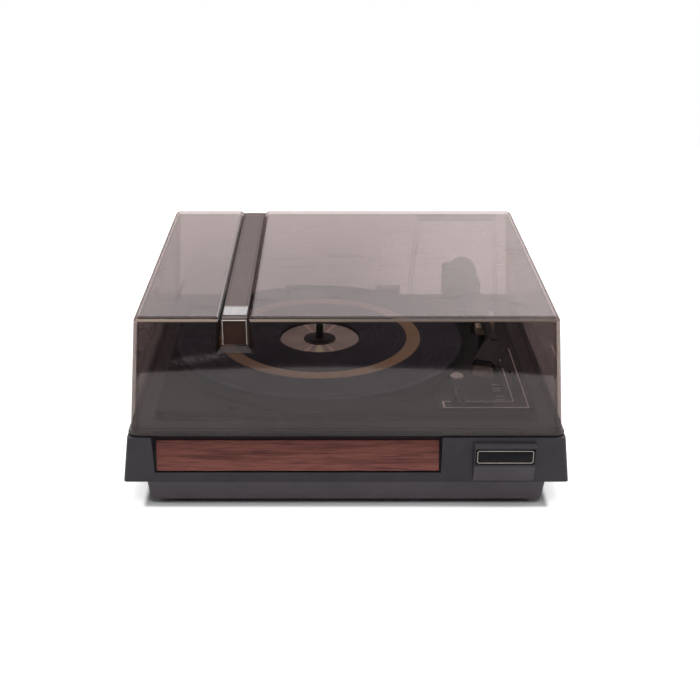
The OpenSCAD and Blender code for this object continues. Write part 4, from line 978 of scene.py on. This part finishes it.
def table_white():
    """Pale table that the camera sees white, apart from the soft shadow at the tray's foot and a painted
    shade behind the player.
    """
    s = material("table_white")
    s.set(Base_Color=(0.88, 0.88, 0.88, 1.0), Roughness=0.9, Specular_IOR_Level=0.0)
    low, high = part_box("base_tray")
    place = s.add("SeparateXYZ", Vector=s.where(shift=(*TABLE_CENTRE, 0))).outputs
    squares = []
    for axis, start, end in (("X", low.x, high.x), ("Y", low.y, high.y)):
        off = s.math("ABSOLUTE", s.minus(place[axis], (start + end) / 2))
        gap = s.most(s.minus(off, (end - start) / 2), 0.0)
        squares.append(s.math("POWER", gap, 2.0))
    away = s.math("SQRT", s.plus(*squares))
    lift = s.plus(s.span(away, 0.0, LINE_WIDTH, 0.0, LINE_WHITE, smooth=True),
                  s.span(away, BAND_FROM, BAND_TO, 0.0, BAND_WHITE, smooth=True))
    # painted shade: the camera's white is taken away in a patch behind the player, so the table shows grey
    # there
    shade = s.times(s.span(place["X"], *SHADE_LEFT, smooth=True),
                    s.span(place["X"], *SHADE_RIGHT, 1.0, 0.0, smooth=True),
                    s.span(place["Y"], *SHADE_REAR, SHADE_DEPTH, 0.0, smooth=True),
                    s.span(place["Y"], high.y - SHADE_START, high.y, smooth=True))
    seen = s.add("LightPath").outputs["Is Camera Ray"]
    s.set(Emission_Color=WHITE, Emission_Strength=s.times(seen, lift, s.minus(1.0, shade)))
    return s.owner


def table_top():
    """Round table that the player stands on."""
    build = bmesh.new()
    bmesh.ops.create_circle(build, cap_ends=True, segments=160, radius=TABLE_RADIUS)
    mesh = bpy.data.meshes.new("table")
    build.to_mesh(mesh)
    build.free()
    table = bpy.data.objects.new("table", mesh)
    table.location = (*TABLE_CENTRE, CAD_BOX[0].z)
    bpy.context.scene.collection.objects.link(table)
    mesh.materials.append(table_white())


def surround():
    """Soft light that is stronger from the back, its sheen in mirrors, and plain white for the camera."""
    world = bpy.data.worlds.new("surround")
    bpy.context.scene.world = world
    s = Shader(world)
    path = s.add("LightPath").outputs
    towards = s.add("SeparateXYZ", Vector=s.add("TexCoord").outputs["Generated"]).outputs
    fill = s.nodes.get("Background") or s.add("Background")
    s.feed(fill.inputs["Color"], WHITE)
    s.feed(fill.inputs["Strength"], s.span(towards["Y"], *TO_BACK, FILL_FRONT, FILL_BACK, smooth=True))
    level = s.times(s.span(towards["Y"], *TO_BACK, SHEEN_FRONT, SHEEN_BACK, smooth=True),
                    s.span(towards["X"], *TO_RIGHT, 1.0, SHEEN_RIGHT, smooth=True))
    sheen = s.add("Background", Color=(1.0, 0.985, 0.98, 1.0), Strength=level)
    white = s.add("Background", Color=WHITE, Strength=1.0)
    lit = s.layer(path["Is Glossy Ray"], fill.outputs[0], sheen.outputs[0])
    plain = s.most(path["Is Camera Ray"], path["Is Transmission Ray"])
    s.finish(s.layer(plain, lit, white.outputs[0]))


def lamp(name, place, target, size, power):
    """Round soft lamp that points at a target."""
    data = bpy.data.lights.new(name, "AREA")
    data.shape = "DISK"
    data.size = size
    data.energy = power
    thing = bpy.data.objects.new(name, data)
    thing.location = place
    thing.rotation_euler = (Vector(target) - Vector(place)).to_track_quat("-Z", "Y").to_euler()
    bpy.context.scene.collection.objects.link(thing)


def camera():
    """Camera that looks at the player as the photograph does."""
    data = bpy.data.cameras.new("camera")
    data.lens = CAMERA_LENS
    data.sensor_width = CAMERA_SENSOR
    data.shift_x = CAMERA_SHIFT_X
    data.clip_start = 10 * MM
    thing = bpy.data.objects.new("camera", data)
    thing.location = CAMERA_AT
    thing.rotation_euler = (CAMERA_TILT, 0, 0)
    bpy.context.scene.collection.objects.link(thing)
    bpy.context.scene.camera = thing


for node_name in NODES:
    dress(node_name)
ribbed_mat()
turned_disc()
name_plate()
cover_strip()
cover_badge()
strip_shade_bars()
notch_shade_and_glints()
cover_gasket()
boss_painted_light()
deck_painted_shade()
label_dashes()
camera()
table_top()
surround()
lamp("overhead", place=(0.0, 0.15, 1.6), target=(0, 0, 0.05), size=2.4, power=28)
lamp("front", place=(0.30, -1.0, 1.45), target=(0, -0.1, 0.06), size=0.7, power=3.5)
bpy.context.scene.view_settings.view_transform = "Standard"
